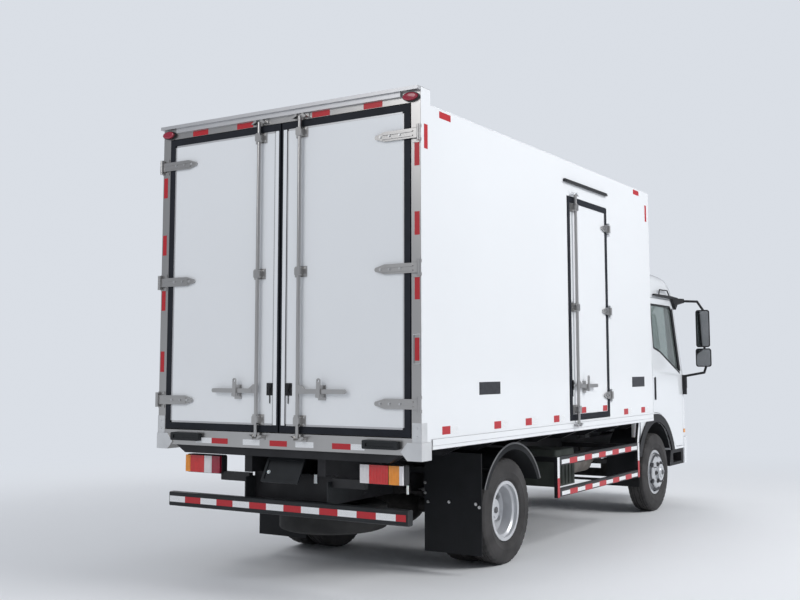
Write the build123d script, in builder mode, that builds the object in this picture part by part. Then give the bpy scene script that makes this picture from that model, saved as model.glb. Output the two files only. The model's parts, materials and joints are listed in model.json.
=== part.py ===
"""Refrigerated box truck on a light cab-over chassis, in millimetres.

The frame is +X forward, +Y to the truck's left and +Z up. The origin is on
the ground, halfway along and across the truck.
"""
import os
from math import cos, radians, sin, sqrt

from build123d import *

os.makedirs("parts", exist_ok=True)

# Overall
WHEELBASE = 3360
REAR_OVERHANG = 1545
FRONT_OVERHANG = 1090
OVERALL_LENGTH = WHEELBASE + REAR_OVERHANG + FRONT_OVERHANG
REAR_AXLE_X = REAR_OVERHANG - OVERALL_LENGTH / 2
FRONT_AXLE_X = REAR_AXLE_X + WHEELBASE

# Wheels
TYRE_RADIUS = 387.5
TYRE_WIDTH = 195
TREAD_WIDTH = 150
RIM_SEAT_RADIUS = 203
RIM_FLANGE_RADIUS = 219
RIM_WIDTH = 152
RIM_THICKNESS = 8
DISC_OFFSET = 108
BOLT_COUNT = 6
HAND_HOLE_CIRCLE = 158
HUB_RADIUS = 82
SPINDLE_RADIUS = 32
BEARING_CLEARANCE = 0.5
TWIN_SPACING = 230
REAR_OUTER_WHEEL_Y = 864.5
FRONT_WHEEL_Y = 850
KINGPIN_Y = 752
KINGPIN_RADIUS = 15
PIN_CLEARANCE = 0.5
STEERING_ARM = 150
WHEEL_Z = TYRE_RADIUS

# Chassis frame
FRAME_WIDTH = 700
RAIL_HEIGHT = 190
RAIL_FLANGE = 65
RAIL_WALL = 7
FRAME_TOP = 735
FRAME_REAR_X = REAR_AXLE_X - 1340
FRAME_FRONT_X = FRONT_AXLE_X + 880
SPRING_WIDTH = 65
SPRING_LEAF = 11
FRONT_SPRING_Y = FRAME_WIDTH / 2 + 50
REAR_SPRING_Y = FRAME_WIDTH / 2 + 90

# Cargo box
BOX_WIDTH = 2264
BOX_REAR_X = REAR_AXLE_X - 1508
CAB_BACK_X = FRONT_AXLE_X - 480
CAB_TO_BOX = 128
BOX_FRONT_X = CAB_BACK_X - CAB_TO_BOX
BOX_LENGTH = BOX_FRONT_X - BOX_REAR_X
BOX_BOTTOM = FRAME_TOP + 200
BOX_HEIGHT = 2220
BOX_TOP = BOX_BOTTOM + BOX_HEIGHT
WALL = 80
FLOOR_THICKNESS = 105
SUBFRAME_SPLIT = FRAME_TOP + 115
HEADER_TOP = BOX_TOP + 90
SILL_BOTTOM = BOX_BOTTOM - 30
POST_WIDTH = 70
PORTAL_DEPTH = 120
STOP_WIDTH = 55
STOP_DEPTH = 45
DOORWAY_BOTTOM = BOX_BOTTOM + 76
DOORWAY_TOP = BOX_TOP - 5

# Insulated doors
DOOR_GAP = 6
LEAF_THICKNESS = 60
PLUG_THICKNESS = 45
SEAL_WIDTH = 46
SEAL_DEPTH = 30
SEAL_PROUD = 5
PLUG_GAP = 14
HINGE_PIN_RADIUS = 7
HINGE_BARREL_RADIUS = 13
HINGE_STAND_OFF = 20
REAR_HINGE_HEIGHTS = (DOORWAY_BOTTOM + 213, (DOORWAY_BOTTOM + DOORWAY_TOP) / 2, DOORWAY_TOP - 205)
REAR_HINGE_REACH = 340
SIDE_HINGE_REACH = 150
SIDE_DOOR_REAR_X = REAR_AXLE_X + 775
SIDE_DOOR_FRONT_X = REAR_AXLE_X + 1640
SIDE_DOOR_BOTTOM = BOX_BOTTOM + 83
SIDE_DOOR_TOP = SIDE_DOOR_BOTTOM + 1842
SIDE_HINGE_HEIGHTS = (SIDE_DOOR_BOTTOM + 189, (SIDE_DOOR_BOTTOM + SIDE_DOOR_TOP) / 2, SIDE_DOOR_TOP - 190)
BARREL_HALF = 32
BRACKET_HALF = 52
HALF_BOX = BOX_WIDTH / 2
ROD_RADIUS = 13
ROD_STAND_OFF = 30
ROD_LOW = DOORWAY_BOTTOM - 26
ROD_HIGH = DOORWAY_TOP + 20
REAR_ROD_Y = 180
SIDE_ROD_LOW = SIDE_DOOR_BOTTOM - 33
SIDE_ROD_HIGH = SIDE_DOOR_TOP + 20
SIDE_ROD_REACH = 110
LEVER_Z = 1297
SIDE_HINGE_X = SIDE_DOOR_FRONT_X + 12
SIDE_HINGE_Y = -HALF_BOX - HINGE_STAND_OFF

# Cab
CAB_HALF_WIDTH = 945
CAB_ROOF = 2438
CAB_SHOULDER_Y = 893
CAB_SHOULDER_DROP = 90
CAB_WALL = 45
CAB_BOTTOM = 560
CAB_CORNER_RADIUS = 120
ARCH_RADIUS = 520
ARCH_LIP = 75
CAB_DOOR_REAR_X = FRONT_AXLE_X - 60
CAB_DOOR_FRONT_X = FRONT_AXLE_X + 890
CAB_GAP = 5


def block(x, y, z, mode=Mode.ADD):
    """Box between two corners; x, y and z are (low, high) pairs."""
    centre = ((x[0] + x[1]) / 2, (y[0] + y[1]) / 2, (z[0] + z[1]) / 2)
    with Locations(centre):
        Box(x[1] - x[0], y[1] - y[0], z[1] - z[0], mode=mode)


def rod(start, end, radius, mode=Mode.ADD):
    """Round bar from one point to another."""
    path = Vector(*end) - Vector(*start)
    with BuildSketch(Plane(origin=start, z_dir=path)) as section:
        Circle(radius)
    extrude(section.sketch, amount=path.length, mode=mode)


def finish(piece, name):
    """Label a finished piece and write it out."""
    piece.part.label = name
    export_step(piece.part, "parts/" + name + ".step")


def between(face, x, y, out, mode=Mode.ADD):
    """Box on a wall: x and y are (low, high) along it, out is (low, high) away from it."""
    with BuildSketch(face.offset(out[0])) as section:
        with Locations(((x[0] + x[1]) / 2, (y[0] + y[1]) / 2)):
            Rectangle(x[1] - x[0], y[1] - y[0])
    extrude(section.sketch, amount=out[1] - out[0], mode=mode)


def keeper(face, place, rod_end, up):
    """Catch for a lock rod: a base with a wing on either side of the rod's end."""
    between(face, (place - 60, place + 60), sorted((rod_end - up * 20, rod_end + up * 6)), (0, 6))
    for side in (1, -1):
        with BuildSketch(face) as wing:
            Polygon(
                (place + side * 20, rod_end - up * 14),
                (place + side * 32, rod_end - up * 14),
                (place + side * 60, rod_end + up * 6),
                (place + side * 60, rod_end + up * 12),
                (place + side * 46, rod_end + up * 12),
                (place + side * 20, rod_end),
                align=None,
            )
        extrude(wing.sketch, amount=ROD_STAND_OFF + ROD_RADIUS)


def wheel_plane(x, y=0):
    """Plane through an axle line, whose local x is the radius and local y is Y."""
    return Plane(origin=(x, y, WHEEL_Z), x_dir=(1, 0, 0), z_dir=(0, 0, 1))


# Faces that carry the doors' hardware: local x runs towards the hinge, local y is Z

REAR_FACE = Plane(origin=(BOX_REAR_X, 0, 0), x_dir=(0, -1, 0), z_dir=(-1, 0, 0))
SIDE_FACE = Plane(origin=(SIDE_DOOR_REAR_X, -HALF_BOX, 0), x_dir=(1, 0, 0), z_dir=(0, -1, 0))


def axle_line(x):
    return Axis((x, 0, WHEEL_Z), (0, 1, 0))


# Chassis frame: two channel rails and the cross members between them

CROSS_MEMBERS = (
    # place along the frame, width of the member
    (FRAME_REAR_X + 40, 70),
    (REAR_AXLE_X - 640, 60),
    (REAR_AXLE_X + 560, 60),
    (REAR_AXLE_X + 1350, 60),
    (FRONT_AXLE_X - 1080, 60),
    (FRAME_FRONT_X - 40, 70),
)
RAIL_BOTTOM = FRAME_TOP - RAIL_HEIGHT
MEMBER_HEIGHT = RAIL_HEIGHT - 2 * RAIL_WALL

with BuildPart() as chassis_frame:
    with BuildSketch(Plane.YZ.offset(FRAME_REAR_X)):
        for side in (1, -1):
            web = side * FRAME_WIDTH / 2
            tip = side * (FRAME_WIDTH / 2 - RAIL_FLANGE)
            inner = side * (FRAME_WIDTH / 2 - RAIL_WALL)
            Polygon(
                (web, RAIL_BOTTOM),
                (web, FRAME_TOP),
                (tip, FRAME_TOP),
                (tip, FRAME_TOP - RAIL_WALL),
                (inner, FRAME_TOP - RAIL_WALL),
                (inner, RAIL_BOTTOM + RAIL_WALL),
                (tip, RAIL_BOTTOM + RAIL_WALL),
                (tip, RAIL_BOTTOM),
                align=None,
            )
    extrude(amount=FRAME_FRONT_X - FRAME_REAR_X)
    for place, width in CROSS_MEMBERS:
        with BuildSketch(Plane.XZ):
            with Locations((place, FRAME_TOP - RAIL_HEIGHT / 2)):
                Rectangle(width, MEMBER_HEIGHT)
                Rectangle(width - 2 * RAIL_WALL, MEMBER_HEIGHT - 2 * RAIL_WALL, mode=Mode.SUBTRACT)
        extrude(amount=FRAME_WIDTH / 2 - RAIL_WALL, both=True)
finish(chassis_frame, "chassis_frame")

# Leaf springs with their hanger brackets, on the outer faces of the rails

SPRING_SETS = (
    # axle, spring's distance from the centre, length, camber, leaves, height of the top leaf's middle
    (FRONT_AXLE_X, FRONT_SPRING_Y, 1100, 55, 4, 500),
    (REAR_AXLE_X, REAR_SPRING_Y, 1200, 50, 6, 520),
)
EYE_RADIUS = 22

with BuildPart() as leaf_springs:
    for axle, spring_y, length, camber, leaves, top in SPRING_SETS:
        for side in (1, -1):
            centre_y = side * spring_y
            for leaf in range(leaves):
                half = length / 2 * (1 - 0.14 * leaf)
                rise = camber * (half / (length / 2)) ** 2
                low = top - SPRING_LEAF * (leaf + 1)
                with BuildSketch(Plane.XZ.offset(-centre_y)):
                    with BuildLine():
                        ThreePointArc((axle - half, low + rise), (axle, low), (axle + half, low + rise))
                        Line((axle + half, low + rise), (axle + half, low + rise + SPRING_LEAF))
                        ThreePointArc(
                            (axle + half, low + rise + SPRING_LEAF),
                            (axle, low + SPRING_LEAF),
                            (axle - half, low + rise + SPRING_LEAF),
                        )
                        Line((axle - half, low + rise + SPRING_LEAF), (axle - half, low + rise))
                    make_face()
                extrude(amount=SPRING_WIDTH / 2, both=True)
            for end in (1, -1):
                eye = (axle + end * length / 2, centre_y, top + camber)
                with Locations(eye):
                    Cylinder(EYE_RADIUS, SPRING_WIDTH, rotation=(90, 0, 0))
                with BuildSketch(Plane.XZ.offset(-side * FRAME_WIDTH / 2)):
                    with BuildLine():
                        Polyline(
                            (eye[0] - 30, eye[2] - 28),
                            (eye[0] + 30, eye[2] - 28),
                            (eye[0] + 60, FRAME_TOP - 40),
                            (eye[0] - 60, FRAME_TOP - 40),
                            close=True,
                        )
                    make_face()
                extrude(amount=-side * (spring_y - FRAME_WIDTH / 2 - SPRING_WIDTH / 2))
finish(leaf_springs, "leaf_springs")

# Rear axle: banjo housing, tubes, spindles and spring seats

AXLE_TUBE_RADIUS = 58
DRUM_INNER_Y = REAR_OUTER_WHEEL_Y - TWIN_SPACING - 60
REAR_SPINDLE_END = REAR_OUTER_WHEEL_Y - 40
PINION_Z = WHEEL_Z + 12
PINION_END_X = REAR_AXLE_X + 290

with BuildPart() as rear_axle:
    with BuildSketch(wheel_plane(REAR_AXLE_X)):
        with BuildLine():
            Polyline(
                (0, -REAR_SPINDLE_END),
                (SPINDLE_RADIUS, -REAR_SPINDLE_END),
                (SPINDLE_RADIUS, -DRUM_INNER_Y),
                (AXLE_TUBE_RADIUS, -DRUM_INNER_Y),
                (AXLE_TUBE_RADIUS, -200),
            )
            ThreePointArc((AXLE_TUBE_RADIUS, -200), (165, 0), (AXLE_TUBE_RADIUS, 200))
            Polyline(
                (AXLE_TUBE_RADIUS, 200),
                (AXLE_TUBE_RADIUS, DRUM_INNER_Y),
                (SPINDLE_RADIUS, DRUM_INNER_Y),
                (SPINDLE_RADIUS, REAR_SPINDLE_END),
                (0, REAR_SPINDLE_END),
                (0, -REAR_SPINDLE_END),
            )
        make_face()
    revolve(axis=axle_line(REAR_AXLE_X))
    rod((REAR_AXLE_X, 0, PINION_Z), (PINION_END_X, 0, PINION_Z), 62)
    for side in (1, -1):
        y = side * REAR_SPRING_Y
        seat_top = 520 - 6 * SPRING_LEAF
        block((REAR_AXLE_X - 60, REAR_AXLE_X + 60), (y - 40, y + 40), (WHEEL_Z, seat_top))
finish(rear_axle, "rear_axle")

# Front axle: forged beam with a dropped middle and an upright boss at each kingpin

BOSS_HALF_HEIGHT = 45
BOSS_RADIUS = 36
BEAM_HALF_DEPTH = 32

with BuildPart() as front_axle:
    with BuildSketch(Plane.YZ.offset(FRONT_AXLE_X)):
        with BuildLine():
            Polyline(
                (-KINGPIN_Y, WHEEL_Z - 30),
                (-KINGPIN_Y + 90, WHEEL_Z - 34),
                (-KINGPIN_Y + 200, 318),
                (KINGPIN_Y - 200, 318),
                (KINGPIN_Y - 90, WHEEL_Z - 34),
                (KINGPIN_Y, WHEEL_Z - 30),
                (KINGPIN_Y, WHEEL_Z + 30),
                (KINGPIN_Y - 110, WHEEL_Z + 36),
                (KINGPIN_Y - 230, 396),
                (-KINGPIN_Y + 230, 396),
                (-KINGPIN_Y + 110, WHEEL_Z + 36),
                (-KINGPIN_Y, WHEEL_Z + 30),
                close=True,
            )
        make_face()
    extrude(amount=BEAM_HALF_DEPTH, both=True)
    for side in (1, -1):
        with Locations((FRONT_AXLE_X, side * KINGPIN_Y, WHEEL_Z)):
            Cylinder(BOSS_RADIUS, 2 * BOSS_HALF_HEIGHT)
    for side in (1, -1):
        with Locations((FRONT_AXLE_X, side * KINGPIN_Y, WHEEL_Z)):
            Cylinder(KINGPIN_RADIUS + PIN_CLEARANCE, 400, mode=Mode.SUBTRACT)
        y = side * FRONT_SPRING_Y
        seat_top = 500 - 4 * SPRING_LEAF
        block((FRONT_AXLE_X - 55, FRONT_AXLE_X + 55), (y - 38, y + 38), (380, seat_top))
finish(front_axle, "front_axle")

# Steering knuckles: a yoke over the beam's boss, the kingpin, the spindle and the steering arm

YOKE_GAP = 1
YOKE_EAR = 22
YOKE_INNER = BOSS_RADIUS + 6
ARM_HEIGHT = WHEEL_Z - BOSS_HALF_HEIGHT - YOKE_GAP - YOKE_EAR / 2
KNUCKLE_FLANGE_Y = KINGPIN_Y + 62
FRONT_SPINDLE_END = FRONT_WHEEL_Y + 95


def steering_knuckle(side):
    pin_y = side * KINGPIN_Y
    with BuildPart() as knuckle:
        for level in (1, -1):
            ear = WHEEL_Z + level * (BOSS_HALF_HEIGHT + YOKE_GAP + YOKE_EAR / 2)
            with BuildSketch(Plane.XY.offset(ear)):
                with Locations((FRONT_AXLE_X, pin_y)):
                    Circle(BOSS_RADIUS)
                with Locations((FRONT_AXLE_X, pin_y + side * 31)):
                    Rectangle(2 * BOSS_RADIUS, 62)
            extrude(amount=YOKE_EAR / 2, both=True)
        half = BOSS_HALF_HEIGHT + YOKE_GAP + YOKE_EAR
        near, far = sorted((pin_y + side * YOKE_INNER, side * KNUCKLE_FLANGE_Y))
        block(
            (FRONT_AXLE_X - BOSS_RADIUS, FRONT_AXLE_X + BOSS_RADIUS),
            (near, far),
            (WHEEL_Z - half, WHEEL_Z + half),
        )
        with Locations((FRONT_AXLE_X, pin_y, WHEEL_Z)):
            Cylinder(KINGPIN_RADIUS, 2 * half)
        rod(
            (FRONT_AXLE_X, side * KNUCKLE_FLANGE_Y, WHEEL_Z),
            (FRONT_AXLE_X, side * FRONT_SPINDLE_END, WHEEL_Z),
            SPINDLE_RADIUS,
        )
        with BuildSketch(Plane.XY.offset(ARM_HEIGHT)):
            with Locations((FRONT_AXLE_X - STEERING_ARM / 2, pin_y)):
                Rectangle(STEERING_ARM, 36)
            with Locations((FRONT_AXLE_X - STEERING_ARM, pin_y)):
                Circle(22)
                Circle(8 + PIN_CLEARANCE, mode=Mode.SUBTRACT)
        extrude(amount=YOKE_EAR / 2, both=True)
    return knuckle


for side, hand in ((1, "left"), (-1, "right")):
    steering_knuckle_part = steering_knuckle(side)
    finish(steering_knuckle_part, "steering_knuckle_" + hand)

TIE_ROD_X = FRONT_AXLE_X - STEERING_ARM
TIE_ROD_Z = ARM_HEIGHT - YOKE_EAR / 2 - 22
with BuildPart() as tie_rod:
    rod((TIE_ROD_X, -KINGPIN_Y + 12, TIE_ROD_Z), (TIE_ROD_X, KINGPIN_Y - 12, TIE_ROD_Z), 13)
    for side in (1, -1):
        with Locations((TIE_ROD_X, side * KINGPIN_Y, TIE_ROD_Z)):
            Cylinder(14, 34)
        rod((TIE_ROD_X, side * KINGPIN_Y, TIE_ROD_Z), (TIE_ROD_X, side * KINGPIN_Y, ARM_HEIGHT + 14), 8)
finish(tie_rod, "tie_rod")


# Wheels: the rim is one revolved section, turned round for the front axle

def rim(axle_x, centre_y, disc_side):
    """Steel disc wheel about an axle; the disc stands towards disc_side."""
    half = RIM_WIDTH / 2
    drop = RIM_SEAT_RADIUS - 16
    wall = RIM_THICKNESS
    barrel = (
        (RIM_FLANGE_RADIUS, half),
        (RIM_FLANGE_RADIUS, half - wall),
        (RIM_SEAT_RADIUS, half - wall - 1),
        (RIM_SEAT_RADIUS, half - 30),
        (drop, half - 42),
        (drop, 42 - half),
        (RIM_SEAT_RADIUS, 30 - half),
        (RIM_SEAT_RADIUS, wall + 1 - half),
        (RIM_FLANGE_RADIUS, wall - half),
        (RIM_FLANGE_RADIUS, -half),
        (RIM_SEAT_RADIUS - wall, -half),
        (RIM_SEAT_RADIUS - wall, 26 - half),
        (drop - wall, 38 - half),
        (drop - wall, half - 38),
        (RIM_SEAT_RADIUS - wall, half - 26),
        (RIM_SEAT_RADIUS - wall, half),
    )
    disc = (
        (drop - wall + 4, 34),
        (drop - wall - 12, 62),
        (150, DISC_OFFSET - 10),
        (128, DISC_OFFSET),
        (60, DISC_OFFSET),
        (60, DISC_OFFSET + 10),
        (132, DISC_OFFSET + 10),
        (158, DISC_OFFSET - 2),
        (drop - wall - 2, 70),
        (drop - wall + 4, 52),
    )
    with BuildPart() as wheel:
        with BuildSketch(wheel_plane(axle_x, centre_y)):
            for outline in (barrel, disc):
                Polygon(*[(r, disc_side * y) for r, y in outline], align=None)
        revolve(axis=axle_line(axle_x))
    return wheel


def tyre_section(centre_y):
    """Half section of a tyre, as radius and Y, drawn about its middle plane."""
    bead = RIM_WIDTH / 2 - RIM_THICKNESS - 1
    wide = TYRE_WIDTH / 2
    tread = TREAD_WIDTH / 2
    inner = RIM_SEAT_RADIUS + 0.3
    with BuildSketch(Plane.XY, mode=Mode.PRIVATE) as section:
        with BuildLine():
            Line((inner, -bead), (inner, bead))
            Line((inner, bead), (RIM_FLANGE_RADIUS + 4, bead))
            ThreePointArc((RIM_FLANGE_RADIUS + 4, bead), (300, wide), (TYRE_RADIUS - 16, tread + 8))
            shoulder = TYRE_RADIUS - 16
            ThreePointArc((shoulder, tread + 8), (TYRE_RADIUS - 5, tread + 3), (TYRE_RADIUS, tread - 10))
            Line((TYRE_RADIUS, tread - 10), (TYRE_RADIUS, 10 - tread))
            ThreePointArc((TYRE_RADIUS, 10 - tread), (TYRE_RADIUS - 5, -tread - 3), (shoulder, -tread - 8))
            ThreePointArc((TYRE_RADIUS - 16, -tread - 8), (300, -wide), (RIM_FLANGE_RADIUS + 4, -bead))
            Line((RIM_FLANGE_RADIUS + 4, -bead), (inner, -bead))
        make_face()
    return section.sketch


def tyres(axle_x, centres):
    """One tyre, or a twin pair, about an axle."""
    with BuildPart() as ring:
        for centre_y in centres:
            with BuildSketch(wheel_plane(axle_x, centre_y)):
                add(tyre_section(centre_y))
        revolve(axis=axle_line(axle_x))
    return ring


def hand_holes(axle_x, centre_y, reach):
    """Oval hand holes through the discs, cut along the axle on both sides of centre_y."""
    with BuildSketch(Plane.XZ.offset(-centre_y)) as openings:
        with Locations((axle_x, WHEEL_Z)):
            with PolarLocations(HAND_HOLE_CIRCLE, BOLT_COUNT, start_angle=30):
                Ellipse(15, 29)
    extrude(openings.sketch, amount=reach, both=True, mode=Mode.SUBTRACT)


def pair(piece, name, made="left"):
    """Finish a piece made for one side and its mirror image for the other."""
    finish(piece, name + "_" + made)
    with BuildPart() as other:
        add(mirror(piece.part, about=Plane.XZ))
    finish(other, name + ("_right" if made == "left" else "_left"))


HUB_INNER_Y = KNUCKLE_FLANGE_Y + 8
HUB_OUTER_Y = FRONT_WHEEL_Y + DISC_OFFSET + 34
front_disc = rim(FRONT_AXLE_X, FRONT_WHEEL_Y, 1)
with BuildPart() as front_rim:
    add(front_disc.part)
    rod((FRONT_AXLE_X, HUB_INNER_Y, WHEEL_Z), (FRONT_AXLE_X, HUB_OUTER_Y, WHEEL_Z), HUB_RADIUS)
    rod(
        (FRONT_AXLE_X, HUB_INNER_Y, WHEEL_Z),
        (FRONT_AXLE_X, FRONT_SPINDLE_END + 1, WHEEL_Z),
        SPINDLE_RADIUS + BEARING_CLEARANCE,
        mode=Mode.SUBTRACT,
    )
    hand_holes(FRONT_AXLE_X, FRONT_WHEEL_Y + 80, 60)
pair(front_rim, "front_rim")
pair(tyres(FRONT_AXLE_X, (FRONT_WHEEL_Y,)), "front_tyre")

REAR_INNER_WHEEL_Y = REAR_OUTER_WHEEL_Y - TWIN_SPACING
outer_disc = rim(REAR_AXLE_X, REAR_OUTER_WHEEL_Y, -1)
inner_disc = rim(REAR_AXLE_X, REAR_INNER_WHEEL_Y, 1)
with BuildPart() as rear_rims:
    add(outer_disc.part)
    add(inner_disc.part)
    hub_start = (REAR_AXLE_X, DRUM_INNER_Y + 6, WHEEL_Z)
    rod(hub_start, (REAR_AXLE_X, REAR_OUTER_WHEEL_Y - 20, WHEEL_Z), HUB_RADIUS)
    bore_end = (REAR_AXLE_X, REAR_SPINDLE_END + 1, WHEEL_Z)
    rod(hub_start, bore_end, SPINDLE_RADIUS + BEARING_CLEARANCE, mode=Mode.SUBTRACT)
    hand_holes(REAR_AXLE_X, REAR_OUTER_WHEEL_Y - TWIN_SPACING / 2, 80)
pair(rear_rims, "rear_rims")
pair(tyres(REAR_AXLE_X, (REAR_OUTER_WHEEL_Y, REAR_INNER_WHEEL_Y)), "rear_tyres")

# Engine and gearbox as one plain block between the rails

ENGINE_REAR_X = FRONT_AXLE_X - 940
with BuildPart() as engine_block:
    with BuildSketch(Plane.XZ):
        Polygon(
            (ENGINE_REAR_X, 430),
            (FRONT_AXLE_X - 420, 430),
            (FRONT_AXLE_X - 380, 430),
            (FRONT_AXLE_X + 380, 430),
            (FRONT_AXLE_X + 420, 930),
            (FRONT_AXLE_X - 330, 930),
            (FRONT_AXLE_X - 420, 720),
            (ENGINE_REAR_X, 660),
            align=None,
        )
    extrude(amount=190, both=True)
finish(engine_block, "engine_block")

SHAFT_RADIUS = 38
SHAFT_GAP = 1.6
with BuildPart() as drive_shaft:
    rod((PINION_END_X + SHAFT_GAP, 0, PINION_Z), (ENGINE_REAR_X - SHAFT_GAP, 0, 480), SHAFT_RADIUS)
finish(drive_shaft, "drive_shaft")

# Exhaust: oval silencer under the right rail with its pipes

SILENCER_Y = -560
with BuildPart() as exhaust:
    rod((REAR_AXLE_X + 1700, SILENCER_Y, 560), (REAR_AXLE_X + 2350, SILENCER_Y, 560), 95)
    rod((REAR_AXLE_X + 2350, SILENCER_Y, 560), (REAR_AXLE_X + 2560, SILENCER_Y, 560), 30)
    rod((REAR_AXLE_X + 1400, SILENCER_Y, 500), (REAR_AXLE_X + 1720, SILENCER_Y, 540), 30)
    block((REAR_AXLE_X + 1980, REAR_AXLE_X + 2020), (SILENCER_Y, -FRAME_WIDTH / 2), (640, 660))
finish(exhaust, "exhaust")

# Fuel tank on the left rail, with its two hangers

TANK_REAR_X = REAR_AXLE_X + 900
TANK_LENGTH = 900
TANK_Y = 655
TANK_Z = 520
TANK_WIDTH = 450
TANK_HEIGHT = 380
STRAP_WIDTH = 45
with BuildPart() as tanks:
    with BuildSketch(Plane.YZ.offset(TANK_REAR_X)):
        with Locations((TANK_Y, TANK_Z)):
            RectangleRounded(TANK_WIDTH, TANK_HEIGHT, 70)
    extrude(amount=TANK_LENGTH)
    for place in (150, TANK_LENGTH - 150):
        with BuildSketch(Plane.YZ.offset(TANK_REAR_X + place - STRAP_WIDTH / 2)):
            with Locations((TANK_Y, TANK_Z)):
                RectangleRounded(TANK_WIDTH + 8, TANK_HEIGHT + 8, 74)
        extrude(amount=STRAP_WIDTH)
        block(
            (TANK_REAR_X + place - 25, TANK_REAR_X + place + 25),
            (FRAME_WIDTH / 2, TANK_Y - TANK_WIDTH / 2 + 30),
            (600, 690),
        )
    cap_x = TANK_REAR_X + TANK_LENGTH - 60
    rod((cap_x, TANK_Y + 150, TANK_Z + 170), (cap_x, TANK_Y + 185, TANK_Z + 225), 38)
finish(tanks, "tanks")

BATTERY_X = (REAR_AXLE_X + 1000, REAR_AXLE_X + 1380)
BATTERY_Y = (-900, -470)
BATTERY_TOP = 760
with BuildPart() as battery_box:
    block(BATTERY_X, BATTERY_Y, (460, BATTERY_TOP - 75))
    with BuildSketch(Plane.XY.offset(BATTERY_TOP - 75)):
        with Locations(((BATTERY_X[0] + BATTERY_X[1]) / 2, (BATTERY_Y[0] + BATTERY_Y[1]) / 2)):
            RectangleRounded(BATTERY_X[1] - BATTERY_X[0] + 16, BATTERY_Y[1] - BATTERY_Y[0] + 16, 25)
    extrude(amount=75, taper=8)
    with Locations(((BATTERY_X[0] + BATTERY_X[1]) / 2, BATTERY_Y[0], 570)):
        with GridLocations(70, 1, 5, 1):
            Box(24, 16, 190)
    for place in (20, 300):
        block(
            (BATTERY_X[0] + place, BATTERY_X[0] + place + 50),
            (BATTERY_Y[1] - 10, -FRAME_WIDTH / 2),
            (620, 680),
        )
finish(battery_box, "battery_box")

# Spare wheel, carried flat under the rear cross members

SPARE_X = REAR_AXLE_X - 880
SPARE_Z = 400
with BuildPart() as spare_wheel:
    plane = Plane(origin=(SPARE_X, 0, SPARE_Z), x_dir=(1, 0, 0), z_dir=(0, -1, 0))
    with BuildSketch(plane):
        add(tyre_section(0))
        disc_edge = RIM_SEAT_RADIUS + 1
        Polygon((0, 30), (150, 30), (disc_edge, 10), (disc_edge, -10), (150, 15), (0, 15), align=None)
    revolve(axis=Axis((SPARE_X, 0, SPARE_Z), (0, 0, 1)))
    rod((SPARE_X, 0, SPARE_Z + 15), (SPARE_X, 0, RAIL_BOTTOM + 40), 18)
    block(
        (SPARE_X - 35, SPARE_X + 35),
        (-FRAME_WIDTH / 2 + RAIL_WALL, FRAME_WIDTH / 2 - RAIL_WALL),
        (RAIL_BOTTOM + RAIL_WALL, RAIL_BOTTOM + 50),
    )
finish(spare_wheel, "spare_wheel")

# Cargo box subframe: two sills on the rails and the cross beams under the floor

BEAM_PLACES = 9
BEAM_WIDTH = 50
BEAM_HALF_SPAN = 990
REAR_BEAM_HALF_SPAN = 970
FIRST_BEAM = 220
with BuildPart() as floor_subframe:
    for side in (1, -1):
        edge = side * FRAME_WIDTH / 2
        near, far = sorted((edge, edge - side * RAIL_FLANGE))
        block((BOX_REAR_X + 60, BOX_FRONT_X - 20), (near, far), (FRAME_TOP, SUBFRAME_SPLIT))
    with BuildSketch(Plane.YZ.offset(BOX_REAR_X + 20)):
        Polygon(
            (-REAR_BEAM_HALF_SPAN, SILL_BOTTOM),
            (-REAR_BEAM_HALF_SPAN + 90, SUBFRAME_SPLIT),
            (REAR_BEAM_HALF_SPAN - 90, SUBFRAME_SPLIT),
            (REAR_BEAM_HALF_SPAN, SILL_BOTTOM),
            align=None,
        )
    extrude(amount=80)
    pitch = (BOX_LENGTH - 60 - FIRST_BEAM) / (BEAM_PLACES - 1)
    for beam in range(BEAM_PLACES):
        place = BOX_REAR_X + FIRST_BEAM + beam * pitch
        with BuildSketch(Plane.YZ.offset(place)):
            Polygon(
                (-BEAM_HALF_SPAN, BOX_BOTTOM),
                (-BEAM_HALF_SPAN, BOX_BOTTOM - 30),
                (-BEAM_HALF_SPAN + 120, SUBFRAME_SPLIT),
                (BEAM_HALF_SPAN - 120, SUBFRAME_SPLIT),
                (BEAM_HALF_SPAN, BOX_BOTTOM - 30),
                (BEAM_HALF_SPAN, BOX_BOTTOM),
                align=None,
            )
        extrude(amount=BEAM_WIDTH / 2, both=True)
finish(floor_subframe, "floor_subframe")

# Cargo box panels

PORTAL_FRONT_X = BOX_REAR_X + PORTAL_DEPTH
WALL_TOP = BOX_TOP - WALL
FLOOR_TOP = BOX_BOTTOM + FLOOR_THICKNESS

with BuildPart() as box_floor:
    block((PORTAL_FRONT_X, BOX_FRONT_X - WALL), (-HALF_BOX + WALL, HALF_BOX - WALL), (BOX_BOTTOM, FLOOR_TOP))
finish(box_floor, "box_floor")

with BuildPart() as box_front_wall:
    block((BOX_FRONT_X - WALL, BOX_FRONT_X), (-HALF_BOX + WALL, HALF_BOX - WALL), (BOX_BOTTOM, WALL_TOP))
finish(box_front_wall, "box_front_wall")

with BuildPart() as box_roof:
    block((PORTAL_FRONT_X, BOX_FRONT_X), (-HALF_BOX, HALF_BOX), (WALL_TOP, BOX_TOP))
    edges = box_roof.edges().filter_by(Axis.X).group_by(Axis.Z)[-1]
    fillet(edges, 15)
finish(box_roof, "box_roof")

with BuildPart() as box_side_left:
    block((PORTAL_FRONT_X, BOX_FRONT_X), (HALF_BOX - WALL, HALF_BOX), (BOX_BOTTOM, WALL_TOP))
finish(box_side_left, "box_side_left")

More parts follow.
